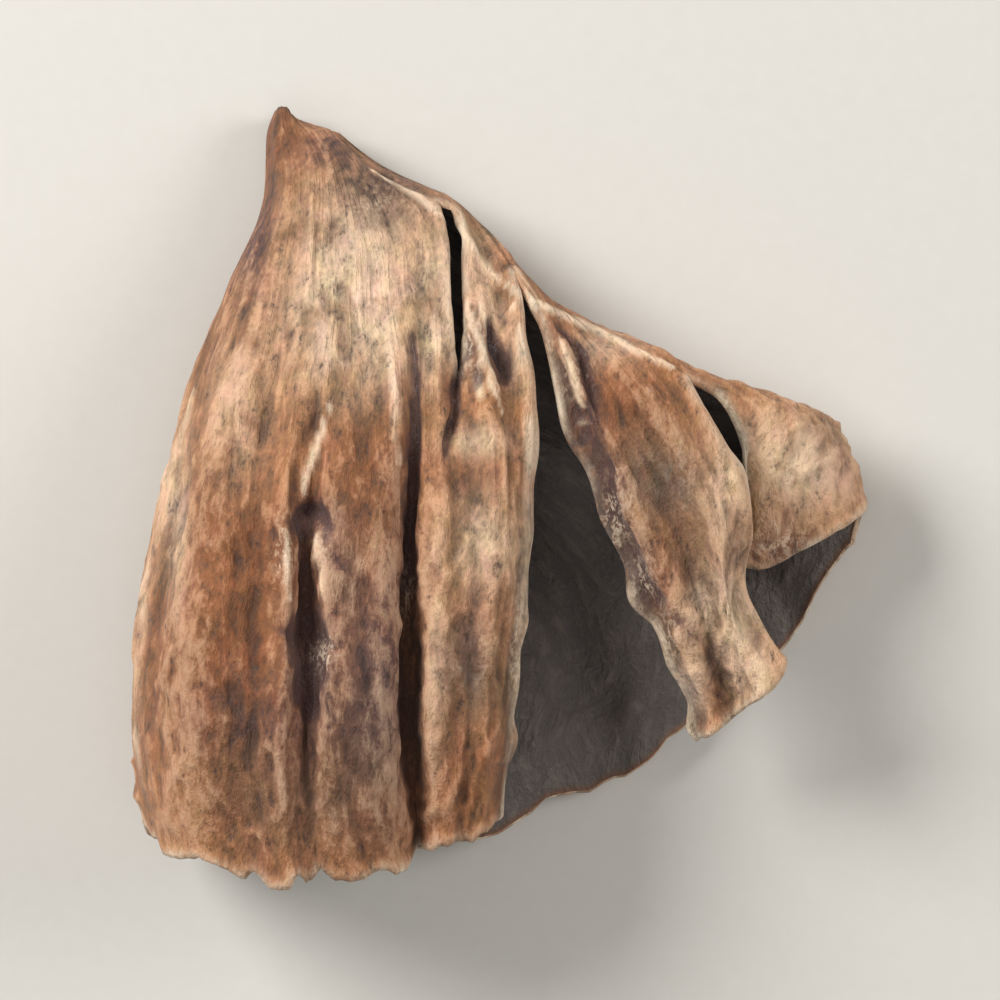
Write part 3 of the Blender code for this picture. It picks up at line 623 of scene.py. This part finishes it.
def dressed_faces(look):
    """The funnel's finely drawn outer and inner face, in the frame's millimetres, with what the paint needs."""
    solid_outer, solid_inner, middle, on_line = solid_faces()
    along = np.linspace(0, 1, FINE_ROWS)
    column, torn = tear_places(along, on_line)
    smooth_outer, smooth_inner = finer(solid_outer), finer(solid_inner)
    width_row = int(WIDTH_READ_AT * smooth_outer.shape[1])
    spacing = size(np.roll(smooth_outer, -1, 0) - smooth_outer)[:, width_row, 0]
    around = np.cumsum(spacing) - spacing[0]
    kept = np.zeros(len(around))
    kept[on_line["tongue crown"] * FINER:on_line["right edge"] * FINER] = KEPT
    row = rim_places(along, around, kept) * (smooth_outer.shape[1] - 1)
    outer, inner = read(smooth_outer, column, row), read(smooth_inner, column, row)
    broken_end(outer)
    flesh = flow(around, along)
    flat = (outer + middle)[..., :2]
    normals = normals_of(outer)
    upper = soft_step(normals[..., 2], -0.1, 0.25) * soft_step(outer[..., 2], 1.4, 2.2)
    reshape_lobes(outer, inner, flat, on_line, along)
    flat = (outer + middle)[..., :2]

    # The open edges, without the stem's end
    faces = face_quads(torn)
    edges = open_edges(faces)
    edges = edges[(edges % FINE_ROWS != 0).any(1)]
    to_edge = distance_to(outer, outer.reshape(-1, 3)[np.unique(edges)])
    calm = soft_step(to_edge, 0.05, 0.7)
    narrow = np.minimum(size(np.roll(outer, -1, 0) - outer)[..., 0] / spacing[:, None] * 1.2, 1)

    # Relief outwards: broad lumps, lengthwise wrinkles and fibres, and a net on the lower lobes. The noises' widths
    # and lengths are in millimetres too.
    low_down = soft_step(along, 0.35, 0.75)[None, :]
    swirl = np.stack([noise_at(flesh / 2.2, seed) for seed in (31.0, 33.0, 35.0)], -1)
    bent = flesh + swirl * (0.4, 0.4, 0.9)
    vein = 1 - np.clip(np.abs(noise_at(bent / (0.95, 0.95, 3.4), 3.0)) / 0.22, 0, 1)
    fibre = noise_at(bent / (0.3, 0.3, 1.1), 11.0)
    net = net_at(bent / (0.7, 0.7, 1.3), 5.0)
    relief = (LUMPS - CALMER_ON_TOP * upper) * noise_at(flesh / (1.9, 1.9, 3.8), 1.0)
    relief += look.wrinkles / MM * ((1.6 - 0.5 * upper) * (vein - 0.4) + 0.8 * fibre + 0.8 * (net - 0.5) * low_down)
    relief *= calm * np.clip(narrow, 0.15, 1)
    rolled = ROLL * np.exp(-((to_edge - ROLL_FROM_EDGE) / 0.16) ** 2)
    jagged = JAGGED * noise_at(flesh / (0.25, 0.25, 0.5), 21.0)[..., None]
    cut, raised, dark, crest = lines_drawn(look, flat, jagged, upper)
    dressed = outer + normals * (relief + rolled + blurred(raised, 1) - blurred(cut, 2))[..., None]
    dressed[..., 2] = np.maximum(dressed[..., 2], 0)

    # The inner face has a net of its own, and comes nearer to the outer one towards every open edge
    inside_vein = 1 - np.clip(np.abs(noise_at(bent / (0.8, 0.8, 1.9), 40.0)) / 0.25, 0, 1)
    lumps = noise_at(flesh / (1.2, 1.2, 2.6), 50.0)
    inside_relief = (INNER_LUMPS * lumps + INNER_VEINS * (inside_vein - 0.4)) * calm
    inner = inner - normals_of(inner) * inside_relief[..., None]
    edge = look.thin_edge * (1 + 0.8 * noise_at(flesh / (0.9, 0.9, 0.9), 80.0))
    thin = edge + (1 - edge) * soft_step(to_edge, 0.0, THIN_REACH)
    inner = dressed + (inner - dressed) * thin[..., None]
    inner[..., 2] = np.maximum(inner[..., 2], LEAST_GAP)

    # A drawn crest gets a painted highlight, pale on its top, which faces up, and broken up where it runs
    # down a steep flank
    flank = 1 - soft_step(normals[..., 2], 0.15, 0.6)
    broken = 0.6 * soft_step(noise_at(bent / (0.5, 0.5, 1.6), 90.0), -0.05, 0.3)
    crest = crest * (1 - flank + flank * broken)
    # The marks for the paint: edge is a painted highlight along the open edges and crests, dark the drawn lines'
    # painted shade, and hollow the painted shade in hollows and painted highlight on ridges
    edge_highlight = np.maximum(np.exp(-(to_edge / PALE_EDGE) ** 2), 0.7 * crest)
    marks = {"edge": edge_highlight, "dark": blurred(dark, 1), "hollow": sunk(dressed, normals), "crest": crest,
             "upper": upper, "flat": flat, "flesh": bent}
    return dressed, inner, faces, edges, marks


def broken_end(outer):
    """The stem's end, worn rounder and narrower, and broken off unevenly."""
    near = 1 - np.arange(WORN_ROWS) / WORN_ROWS
    worn = 1 - STEM_WEAR * near ** 2
    centre = outer[:, :WORN_ROWS].mean(0)
    outer[:, :WORN_ROWS] = centre + (outer[:, :WORN_ROWS] - centre) * worn[None, :, None]
    uneven = noise_at((outer[:, 0] - centre[0]) / 0.45, 70.0)
    lowered = 0.45 * soft_step(outer[:, 0, 0] - centre[0, 0], -0.15, 0.45) + 0.3 * np.clip(uneven + 0.1, 0, 1)
    outer[:, :WORN_ROWS, 1] -= lowered[:, None] * near[None, :]


def blurred(grid, rounds):
    """The grid's values, each mixed with its four neighbours' again and again."""
    for _ in range(rounds):
        below, above = np.roll(grid, -1, 1), np.roll(grid, 1, 1)
        below[:, -1], above[:, 0] = grid[:, -1], grid[:, 0]
        grid = (2 * grid + np.roll(grid, 1, 0) + np.roll(grid, -1, 0) + above + below) / 6
    return grid


def sunk(grid, normals):
    """How far each point lies under its surroundings, from -1 on a ridge to 1 in a hollow, for the painted
    highlight on ridges and painted shade in hollows.
    """
    return np.clip(((blurred(grid, 10) - grid) * normals).sum(-1) / DEEP, -1, 1)


def face_quads(torn):
    """The faces that aren't torn away, as corners in the order that faces outwards."""
    c, r = np.nonzero(~torn)
    n = (c + 1) % len(torn)
    return np.stack([c * FINE_ROWS + r, c * FINE_ROWS + r + 1, n * FINE_ROWS + r + 1, n * FINE_ROWS + r], 1)


def cap_rings(ring, centre, rough, rings=6):
    """Rings of points that close a ring towards its centre, sunk and rough like a torn stem."""
    rows = []
    for k in range(1, rings):
        share = k / rings
        row = centre + (ring - centre) * (1 - share)
        row = row - np.array((0.0, 1.0, 0.0)) * (rough * (1.6 * share * (1 - share) +
                                                 noise_at(row / (0.22, 9.0, 0.22), 60.0)))[:, None]
        rows.append(row)
    return rows


def mushroom_mesh(look):
    """The mesh's points, its four-cornered and three-cornered faces, the paint's marks and the open edges' points."""
    outer, inner, quads, edges, marks = dressed_faces(look)
    columns, rows = outer.shape[:2]
    hollow_from = round(FIRST_HOLLOW_ROW / (ROWS - 1) * (rows - 1))
    count = columns * rows
    points, quads_all = [outer.reshape(-1, 3), inner.reshape(-1, 3)], [quads]
    behind = quads[(quads % rows).min(1) >= hollow_from]
    quads_all.append(behind[:, ::-1] + count)

    # A rounded strip along every open edge
    rim = np.unique(edges)
    centres = points[0][quads].mean(1)
    summed, faces_there = np.zeros((count, 3)), np.zeros(count)
    for k in range(4):
        np.add.at(summed, quads[:, k], centres)
        np.add.at(faces_there, quads[:, k], 1)
    outward = points[0][rim] - summed[rim] / faces_there[rim][:, None]
    outward /= np.maximum(size(outward), 1e-9)
    mid = (points[0][rim] + points[1][rim]) / 2 + STRIP * outward
    place = np.zeros(count, int)
    place[rim] = 2 * count + np.arange(len(rim))
    points.append(mid)
    a, b = edges[:, 0], edges[:, 1]
    quads_all += [np.stack([b, a, place[a], place[b]], 1), np.stack([place[b], place[a], a + count, b + count], 1)]

    # The broken stem's end, and the closed throat inside
    start = 2 * count + len(rim)
    triangles = []
    for first, row, rough, turn in ((0, outer[:, 0], 0.12, 1), (count, inner[:, hollow_from], 0.05, -1)):
        ring = first + np.arange(columns) * rows + (0 if first == 0 else hollow_from)
        for more in cap_rings(row, row.mean(0), rough):
            points.append(more)
            following = start + np.arange(columns)
            quad = np.stack([ring, np.roll(ring, -1), np.roll(following, -1), following], 1)
            quads_all.append(quad[:, ::turn])
            ring, start = following, start + columns
        points.append(row.mean(0)[None])
        last = np.stack([ring, np.roll(ring, -1), np.full(columns, start)], 1)
        triangles.append(last[:, ::turn])
        start += 1
    return np.concatenate(points), np.concatenate(quads_all), np.concatenate(triangles), marks, rim


def linear(colour):
    """An sRGB hex colour as linear red, green, blue and 1."""
    parts = [int(colour[k:k + 2], 16) / 255 for k in (1, 3, 5)]
    return tuple(p / 12.92 if p <= 0.04045 else ((p + 0.055) / 1.055) ** 2.4 for p in parts) + (1.0,)


def add_node(tree, kind, inputs=None, **settings):
    """A node of a kind, with its settings; its inputs are given numbers, colours or the sockets that feed them."""
    node = tree.nodes.new("ShaderNode" + kind)
    for name, value in settings.items():
        setattr(node, name, value)
    for name, value in (inputs or {}).items():
        if isinstance(value, bpy.types.NodeSocket):
            tree.links.new(value, node.inputs[name])
        else:
            node.inputs[name].default_value = value
    return node


# The sockets of a colour mix
SHARE, BELOW, ABOVE, MIXED = 0, 6, 7, 2


def bare_material(name):
    """A new material, its tree and its shader."""
    material = bpy.data.materials.new(name)
    material.use_nodes = True
    tree = material.node_tree
    shader = tree.nodes["Principled BSDF"]
    return material, tree, shader


def shown_share(tree, *parts):
    """How much of a layer shows: the product of its parts. Each is a value, the two ends that it is read between,
    and its share at both, or 0 and 1."""
    share = 1.0
    for value, low, high, *ends in parts:
        least, most = ends or (0.0, 1.0)
        part = add_node(tree, "MapRange", {"Value": value, "From Min": low, "From Max": high, "To Min": least,
                                           "To Max": most}).outputs[0]
        share = add_node(tree, "Math", {0: share, 1: part}, operation="MULTIPLY").outputs[0]
    return share


def painted(tree, colour, layers):
    """The colour with layers laid over it in turn, each with its own colour and the parts of its share."""
    for above, *parts in layers:
        colour = add_node(tree, "Mix", {SHARE: shown_share(tree, *parts), BELOW: colour, ABOVE: above},
                          data_type="RGBA").outputs[MIXED]
    return colour


def dried_flesh(look):
    """Mushroom flesh, air-dried, its outer spore-bearing face. Drying shrinks it into veins and fine fibres, which
    make it matt and mottled tan and brown. Painted light is laid over that: painted highlights on the veins, crests
    and edges, painted glints, and painted shade in the hollows, cracks and grooves."""
    material, tree, shader = bare_material("mushroom_flesh_air_dried_outer_face")
    grain = add_node(tree, "Attribute", attribute_name="grain").outputs["Vector"]
    (edge, dark, hollow), (pale, warm, grey), (purple, glints, _) = (
        add_node(tree, "SeparateColor", {0: add_node(tree, "Attribute", attribute_name=name).outputs[0]}).outputs
        for name in ("marks", "zones", "purple_and_glints"))

    # Patterns of the flesh, each by its real width and length in millimetres. Clouds and fibres follow the flesh and
    # narrow with it to the stem, and the others keep their size.
    still = add_node(tree, "Mapping", {"Vector": add_node(tree, "TexCoord").outputs["Object"],
                                       "Scale": (1 / MM,) * 3}).outputs[0]
    patterns = {}
    for name, source, wide, long, rough, bent in (("cloud", grain, 1.9, 3.0, 0.55, 0.2),
                                                  ("blotch", still, 0.8, 1.7, 0.6, 0.4),
                                                  ("mottle", still, 0.35, 0.7, 0.66, 0.4),
                                                  ("fibre", grain, 0.36, 1.7, 0.55, 0.3),
                                                  ("felt", still, 0.12, 0.17, 0.6, 0.3)):
        scale = (1 / wide, 1 / wide, 1 / long) if source == grain else (1 / wide, 1 / long, 1 / wide)
        place = add_node(tree, "Mapping", {"Vector": source, "Location": (wide * 7, wide * 5, wide * 3),
                                           "Scale": scale}).outputs[0]
        patterns[name] = add_node(tree, "TexNoise", {"Vector": place, "Scale": 1.0, "Detail": 4.0,
                                                     "Roughness": rough, "Distortion": bent})
    cloud, blotch, mottle, fibre, felt = (pattern.outputs[0] for pattern in patterns.values())

    # The zones: tan, and where it is redder, paler, greyer or purple. The paler zones also hold painted highlights,
    # and the redder and purple zones painted shade and a painted shadow.
    colour = painted(tree, look.flesh, (
        (look.warm, (warm, 0.0, 1.0), (blotch, 0.66, 0.36, 0.6, 1.0)),
        (look.pale, (pale, 0.0, 1.0), (blotch, 0.36, 0.54, 0.45, 1.0)),
        (look.grey, (grey, 0.0, 1.0), (mottle, 0.4, 0.58, 0.4, 0.95)),
        (look.purple, (purple, 0.0, 1.0), (mottle, 0.62, 0.42, 0.4, 1.0)),
    ))
    # Drying turns it more olive here and pinker there
    for name, share in (("blotch", 0.15), ("mottle", 0.12)):
        colour = add_node(tree, "Mix", {SHARE: share, BELOW: colour, ABOVE: patterns[name].outputs[1]},
                          data_type="RGBA", blend_type="OVERLAY").outputs[MIXED]
    # Lighter and darker: ridges get a painted highlight and hollows painted shade; clouds, blotches, fibres, fine
    # mottling and felt vary the tone at random
    tone = 0.0
    for value, part in ((hollow, -0.9), (cloud, 0.9), (blotch, 0.9), (mottle, 1.6), (fibre, 0.8), (felt, 0.7)):
        tone = add_node(tree, "Math", {0: value, 1: part, 2: tone}, operation="MULTIPLY_ADD").outputs[0]
    shade = add_node(tree, "MapRange", {"Value": tone, "From Min": 1.5, "From Max": 2.5, "To Min": 0.42,
                                        "To Max": 1.38}).outputs[0]
    colour = add_node(tree, "Mix", {SHARE: 1.0, BELOW: colour, ABOVE: shade}, data_type="RGBA",
                      blend_type="MULTIPLY").outputs[MIXED]
    # The glints are painted highlights, broken into specks
    glint = shown_share(tree, (glints, 0.0, 1.0), (mottle, 0.45, 0.53), (felt, 0.44, 0.56))
    colour = painted(tree, colour, (
        # Paler still where the tone is highest, which takes in the painted highlight on ridges
        (look.pale, (tone, 2.15, 2.75, 0.0, 0.38)),
        # Dark flecks about 0.2 mm wide, here and there
        (look.dark, (mottle, 0.43, 0.35), (felt, 0.54, 0.42, 0.0, 0.55)),
        # Painted shade in the drawn cracks and grooves, red-brown at their sides and nearly black in the middle
        (look.purple, (dark, 0.0, 0.3), (mottle, 0.3, 0.6, 1.0, 0.5)),
        (look.dark, (dark, 0.1, 0.9), (mottle, 0.7, 0.35, 0.7, 1.0)),
        # Painted highlights: the pale edges and crests, and the glints
        (look.edge, (edge, 0.0, 1.0), (purple, 0.3, 0.9, 1.0, 0.3), (blotch, 0.4, 0.58, 1.0, 0.35),
         (fibre, 0.38, 0.56, 0.3, 0.95)),
        (look.edge, (glint, 0.0, 1.0, 0.0, 0.8)),
    ))
    tree.links.new(colour, shader.inputs["Base Color"])

    # Matt, but waxy in and beside the cracks, where it glints
    waxy = shown_share(tree, (felt, 0.48, 0.58), (dark, 0.05, 0.4))
    shiny = add_node(tree, "Math", {0: glint, 1: waxy}, operation="MAXIMUM").outputs[0]
    dry = add_node(tree, "MapRange", {"Value": mottle, "From Min": 0.3, "From Max": 0.7, "To Min": 0.6,
                                      "To Max": 0.85}).outputs[0]
    rough = add_node(tree, "Math", {0: shiny, 1: -0.5, 2: dry}, operation="MULTIPLY_ADD").outputs[0]
    tree.links.new(rough, shader.inputs["Roughness"])
    shader.inputs["IOR"].default_value = IOR
    shader.inputs["Sheen Weight"].default_value = 0.1
    shader.inputs["Sheen Roughness"].default_value = 0.5

    # Fibres, felt and mottling stand up to 0.16 mm high
    height = fibre
    for value, part in ((felt, 0.4), (mottle, 0.9), (blotch, 0.8)):
        height = add_node(tree, "Math", {0: value, 1: part, 2: height}, operation="MULTIPLY_ADD").outputs[0]
    bump = add_node(tree, "Bump", {"Height": height, "Strength": 0.9, "Distance": 0.16 * MM})
    tree.links.new(bump.outputs[0], shader.inputs["Normal"])
    return material


def dried_inside(look):
    """Mushroom flesh, air-dried, its inner face. It dries nearly black, finely wrinkled and a little waxy."""
    material, tree, shader = bare_material("mushroom_flesh_air_dried_inner_face")
    grain = add_node(tree, "Attribute", attribute_name="grain").outputs["Vector"]
    marks = add_node(tree, "Attribute", attribute_name="marks").outputs[0]
    edge, _, hollow = add_node(tree, "SeparateColor", {0: marks}).outputs
    still = add_node(tree, "Mapping", {"Vector": add_node(tree, "TexCoord").outputs["Object"],
                                       "Scale": (1 / MM,) * 3}).outputs[0]
    # Wrinkles about 0.5 mm wide and 1 mm long, and scales of 0.2 mm
    patterns = []
    for source, wide, long in ((grain, 0.5, 1.0), (still, 0.2, 0.2)):
        place = add_node(tree, "Mapping", {"Vector": source, "Scale": (1 / wide, 1 / wide, 1 / long)}).outputs[0]
        patterns.append(add_node(tree, "TexNoise", {"Vector": place, "Scale": 1.0, "Detail": 4.0,
                                                    "Roughness": 0.65, "Distortion": 0.5}).outputs[0])
    wrinkle, scale = patterns
    colour = painted(tree, look.inside, (
        (look.inside_light, (wrinkle, 0.5, 0.7, 0.0, 0.6)),
        (look.inside_light, (scale, 0.55, 0.7, 0.0, 0.5)),
        # Painted highlight on the inner face's ridges
        (look.inside_light, (hollow, 0.45, 0.1, 0.0, 0.35)),
        (look.inside_edge, (edge, 0.2, 1.0, 0.0, 0.8)),
    ))
    tree.links.new(colour, shader.inputs["Base Color"])
    rough = add_node(tree, "MapRange", {"Value": scale, "From Min": 0.35, "From Max": 0.65,
                                        "To Min": 0.38, "To Max": 0.8}).outputs[0]
    tree.links.new(rough, shader.inputs["Roughness"])
    shader.inputs["IOR"].default_value = IOR
    height = add_node(tree, "Math", {0: scale, 1: 0.5, 2: wrinkle}, operation="MULTIPLY_ADD").outputs[0]
    bump = add_node(tree, "Bump", {"Height": height, "Strength": 0.9, "Distance": 0.2 * MM})
    tree.links.new(bump.outputs[0], shader.inputs["Normal"])
    return material


def matt_card(colour):
    """Paper card, uncoated and pressed smooth: pale and quite matt, with no gloss to draw the eye."""
    material, tree, shader = bare_material("paper_card_uncoated")
    place = add_node(tree, "TexCoord").outputs["Object"]
    # Paper fibres are 0.02 mm wide, too fine to show, so the tooth is drawn 0.5 mm wide
    tooth_place = add_node(tree, "Mapping", {"Vector": place, "Scale": (1 / (0.5 * MM),) * 3}).outputs[0]
    tooth = add_node(tree, "TexNoise", {"Vector": tooth_place, "Scale": 1.0, "Detail": 3.0}).outputs[0]
    toothed = painted(tree, colour, ((linear("#ffffff"), (tooth, 0.3, 0.7, 0.0, 0.04)),))
    tree.links.new(toothed, shader.inputs["Base Color"])
    shader.inputs["Roughness"].default_value = 0.9
    return material


def colour_property(name, description, colour):
    """A colour that the user can change, given as sRGB hex."""
    return FloatVectorProperty(name=name, description=description, default=linear(colour), size=4,
                               subtype="COLOR", min=0.0, max=1.0)


class MushroomLook(bpy.types.PropertyGroup):
    """Sizes and colours of the mushroom."""

    wrinkles: FloatProperty(name="Wrinkles", description="Height of the lengthwise wrinkles", default=0.08 * MM,
                            min=0.0, max=0.2 * MM, precision=5, unit="LENGTH")
    crack: FloatProperty(name="Crack", description="Depth of the long crack", default=0.26 * MM,
                         min=0.0, max=0.6 * MM, precision=5, unit="LENGTH")
    thin_edge: FloatProperty(name="Thin edge", description="The wall's thickness at its open edges, as a share",
                             default=0.3, min=0.1, max=1.0, subtype="FACTOR")
    # Pale and edge also paint highlights on ridges, crests, edges and glints; warm, purple and dark also paint shade
    # on flanks turned from the light, a shadow on the stem's left flank, and shade in the drawn cracks and grooves
    flesh: colour_property("Flesh", "Colour of the outer face", "#a16c43")
    pale: colour_property("Pale", "Colour of its palest zones and ridges", "#dcbc9c")
    warm: colour_property("Warm", "Colour of its red-brown blotches", "#7e4a26")
    grey: colour_property("Grey", "Colour of its greyed patches", "#7b6a5a")
    purple: colour_property("Purple", "Colour round its cracks and along torn edges", "#5e3f38")
    dark: colour_property("Dark", "Colour in its cracks and pits", "#3c2a29")
    edge: colour_property("Edge", "Colour of its dried edges", "#ecd6ba")
    inside: colour_property("Inside", "Colour of the inner face", "#655c57")
    # Inside, raised, also paints the highlight on the inner face's ridges
    inside_light: colour_property("Inside, raised", "Colour of the inner face's net", "#877a70")
    inside_edge: colour_property("Inside, edge", "Colour of the inner face at its edges", "#82573d")


class StudioLook(bpy.types.PropertyGroup):
    """Sizes and colours of the studio."""

    floor: colour_property("Floor", "Colour of the floor", "#d8d4cc")
    field: FloatProperty(name="Field", description="Width of what the camera sees", default=29 * MM,
                         min=5 * MM, max=1.0, precision=4, unit="LENGTH")
    distance: FloatProperty(name="Camera distance", description="From the floor to the camera", default=0.3,
                            min=0.05, max=5.0, unit="LENGTH")
    key: FloatProperty(name="Key light", description="Strength of the light on the left", default=0.53, min=0.0,
                       unit="POWER")
    fill: FloatProperty(name="Fill light", description="Strength of the light on the right", default=0.19, min=0.0,
                        unit="POWER")
    room: FloatProperty(name="Room light", description="Strength of the light from all round", default=0.24,
                        min=0.0)


def paint(points, marks, rim):
    """What the materials read at each point: marks (edge, a painted highlight; crack, painted shade; hollow, painted
    shade in hollows and painted highlight on ridges), zones (pale, warm, grey, which also hold painted highlight and
    shade), cracked (purple, which also holds painted shade, and glints, painted highlights), and grain, its place in
    the flesh. The points are the outer face's, the inner face's, the strip's along the open edges and the two caps'."""
    flat, crest, upper = marks["flat"], marks["crest"], marks["upper"]
    count = upper.size
    outer, inner = slice(0, count), slice(count, 2 * count)
    strip, caps = slice(2 * count, 2 * count + len(rim)), slice(2 * count + len(rim), None)
    colours, zones, purple_and_glints = (np.zeros((len(points), 4)) for _ in range(3))
    grain = np.zeros((len(points), 3))
    colours[:, 3] = zones[:, 3] = purple_and_glints[:, 3] = 1
    colours[:, 2] = LEVEL
    grain[outer] = grain[inner] = marks["flesh"].reshape(-1, 3)

    # The edge mark is a painted highlight, the dark mark the drawn lines' painted shade, and the hollow mark the
    # painted shade in hollows and highlight on ridges
    colours[outer, :3] = np.stack([marks["edge"], marks["dark"], LEVEL + LEVEL * marks["hollow"]], -1).reshape(-1, 3)
    # The pale zone takes in the crests' painted highlight; purple holds painted shade as well as purple flesh, and
    # the glints are painted highlights
    pale = np.maximum(patches(flat, PALE), crest)
    zones[outer, :3] = np.stack([pale, patches(flat, WARM), patches(flat, GREY)], -1).reshape(-1, 3)
    purple = patches(flat, PURPLE) * (1 - crest) * upper
    purple_and_glints[outer, :2] = np.stack([purple, patches(flat, GLINTS) * upper], -1).reshape(-1, 2)

    colours[inner, 0] = colours[outer, 0]
    # The rounded strip along the open edges gets the whole pale edge, a painted highlight
    colours[strip, 0] = 1
    zones[strip], purple_and_glints[strip], grain[strip] = zones[rim], purple_and_glints[rim], grain[rim]
    zones[caps, 1] = 0.8
    grain[caps] = points[caps] * (6, 1, 6)
    return {"marks": colours, "zones": zones, "purple_and_glints": purple_and_glints, "grain": grain}


class MUSHROOM_OT_flesh(bpy.types.Operator):
    """Draw the mushroom over its solid: the outer and inner face, the torn edges and the stem's end"""

    bl_idname = "mushroom.flesh"
    bl_label = "Mushroom"

    def execute(self, context):
        look = context.scene.mushroom_look
        points, quads, triangles, marks, rim = mushroom_mesh(look)
        outer_count = marks["upper"].size
        face_count = len(quads) + len(triangles)

        # Leave out the points that the tears cut away
        used = np.unique(np.concatenate([quads.ravel(), triangles.ravel()]))
        number = np.zeros(len(points), int)
        number[used] = np.arange(len(used))
        mesh = bpy.data.meshes.new("mushroom_flesh")
        mesh.from_pydata((points[used] * MM).tolist(), [], number[quads].tolist() + number[triangles].tolist())
        if mesh.validate() or face_count != len(mesh.polygons):
            raise RuntimeError("the mushroom's mesh has broken faces")
        mesh.shade_smooth()

        for name, values in paint(points, marks, rim).items():
            kind, key = ("FLOAT_VECTOR", "vector") if values.shape[1] == 3 else ("FLOAT_COLOR", "color")
            attribute = mesh.attributes.new(name, kind, "POINT")
            attribute.data.foreach_set(key, np.ascontiguousarray(values[used], np.float32).ravel())

        mesh.materials.append(dried_flesh(look))
        mesh.materials.append(dried_inside(look))
        inner_face_there = ((quads >= outer_count) & (quads < 2 * outer_count)).all(1)
        slots = np.concatenate([inner_face_there, np.zeros(len(triangles), bool)]).astype(np.int32)
        mesh.polygons.foreach_set("material_index", slots)
        mesh.update()

        piece = bpy.data.objects.new("mushroom_flesh", mesh)
        context.scene.collection.objects.link(piece)
        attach(piece, "root")
        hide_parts(NODE)
        return {"FINISHED"}


class MUSHROOM_OT_studio(bpy.types.Operator):
    """Lay the plain floor, and set up the soft lights and the camera that looks straight down"""

    bl_idname = "mushroom.studio"
    bl_label = "Studio"

    def execute(self, context):
        studio = context.scene.studio_look
        scene = context.scene
        mesh = bpy.data.meshes.new("floor")
        corners = [(x * FLOOR_REACH, y * FLOOR_REACH, 0) for x, y in ((-1, -1), (1, -1), (1, 1), (-1, 1))]
        mesh.from_pydata(corners, [], [(0, 1, 2, 3)])
        mesh.materials.append(matt_card(studio.floor))
        floor = bpy.data.objects.new("floor", mesh)
        scene.collection.objects.link(floor)

        # A soft box low on each side, as in a light tent, and a weaker one overhead, with widths and places in metres
        middle = Vector((0.0, 0.0, MIDDLE))
        for name, power, width, place in (("key", studio.key, 0.12, (-0.15, 0.1, 0.13)),
                                          ("fill", studio.fill, 0.12, (0.17, 0.05, 0.12)),
                                          ("overhead", 0.4 * studio.fill, 0.2, (0.0, -0.08, 0.24))):
            light = bpy.data.lights.new(name, "AREA")
            light.shape = "DISK"
            light.size = width
            light.energy = power
            lamp = bpy.data.objects.new(name, light)
            lamp.location = place
            lamp.rotation_euler = (middle - lamp.location).to_track_quat("-Z", "Y").to_euler()
            scene.collection.objects.link(lamp)
        world = bpy.data.worlds.new("room")
        world.use_nodes = True
        background = world.node_tree.nodes["Background"]
        background.inputs["Color"].default_value = linear("#f6f4f0")
        background.inputs["Strength"].default_value = studio.room
        scene.world = world
        scene.view_settings.view_transform = "Standard"

        # A long lens far above, as the photograph looks at the mushroom
        lens = bpy.data.cameras.new("camera")
        lens.sensor_width = 36.0
        lens.lens = lens.sensor_width * (studio.distance - MIDDLE) / studio.field
        lens.clip_start, lens.clip_end = 0.01, 10.0
        camera = bpy.data.objects.new("camera", lens)
        camera.location = (0.0, 0.0, studio.distance)
        scene.collection.objects.link(camera)
        scene.camera = camera
        return {"FINISHED"}


class MUSHROOM_PT_panel(bpy.types.Panel):
    """The mushroom and its studio"""

    bl_idname = "MUSHROOM_PT_panel"
    bl_label = "Mushroom"
    bl_space_type = "VIEW_3D"
    bl_region_type = "UI"
    bl_category = "Mushroom"

    def draw(self, context):
        for heading, look, operator in (("Mushroom", context.scene.mushroom_look, MUSHROOM_OT_flesh),
                                        ("Studio", context.scene.studio_look, MUSHROOM_OT_studio)):
            box = self.layout.box()
            box.label(text=heading)
            for name in type(look).__annotations__:
                box.prop(look, name)
            box.operator(operator.bl_idname)


CLASSES = (MushroomLook, StudioLook, MUSHROOM_OT_flesh, MUSHROOM_OT_studio, MUSHROOM_PT_panel)


def register():
    for one in CLASSES:
        bpy.utils.register_class(one)
    bpy.types.Scene.mushroom_look = PointerProperty(type=MushroomLook)
    bpy.types.Scene.studio_look = PointerProperty(type=StudioLook)


def unregister():
    del bpy.types.Scene.studio_look
    del bpy.types.Scene.mushroom_look
    for one in reversed(CLASSES):
        bpy.utils.unregister_class(one)


def main():
    """Build the mushroom and its studio."""
    register()
    bpy.ops.mushroom.flesh()
    bpy.ops.mushroom.studio()
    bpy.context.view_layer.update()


if __name__ == "__main__":
    main()
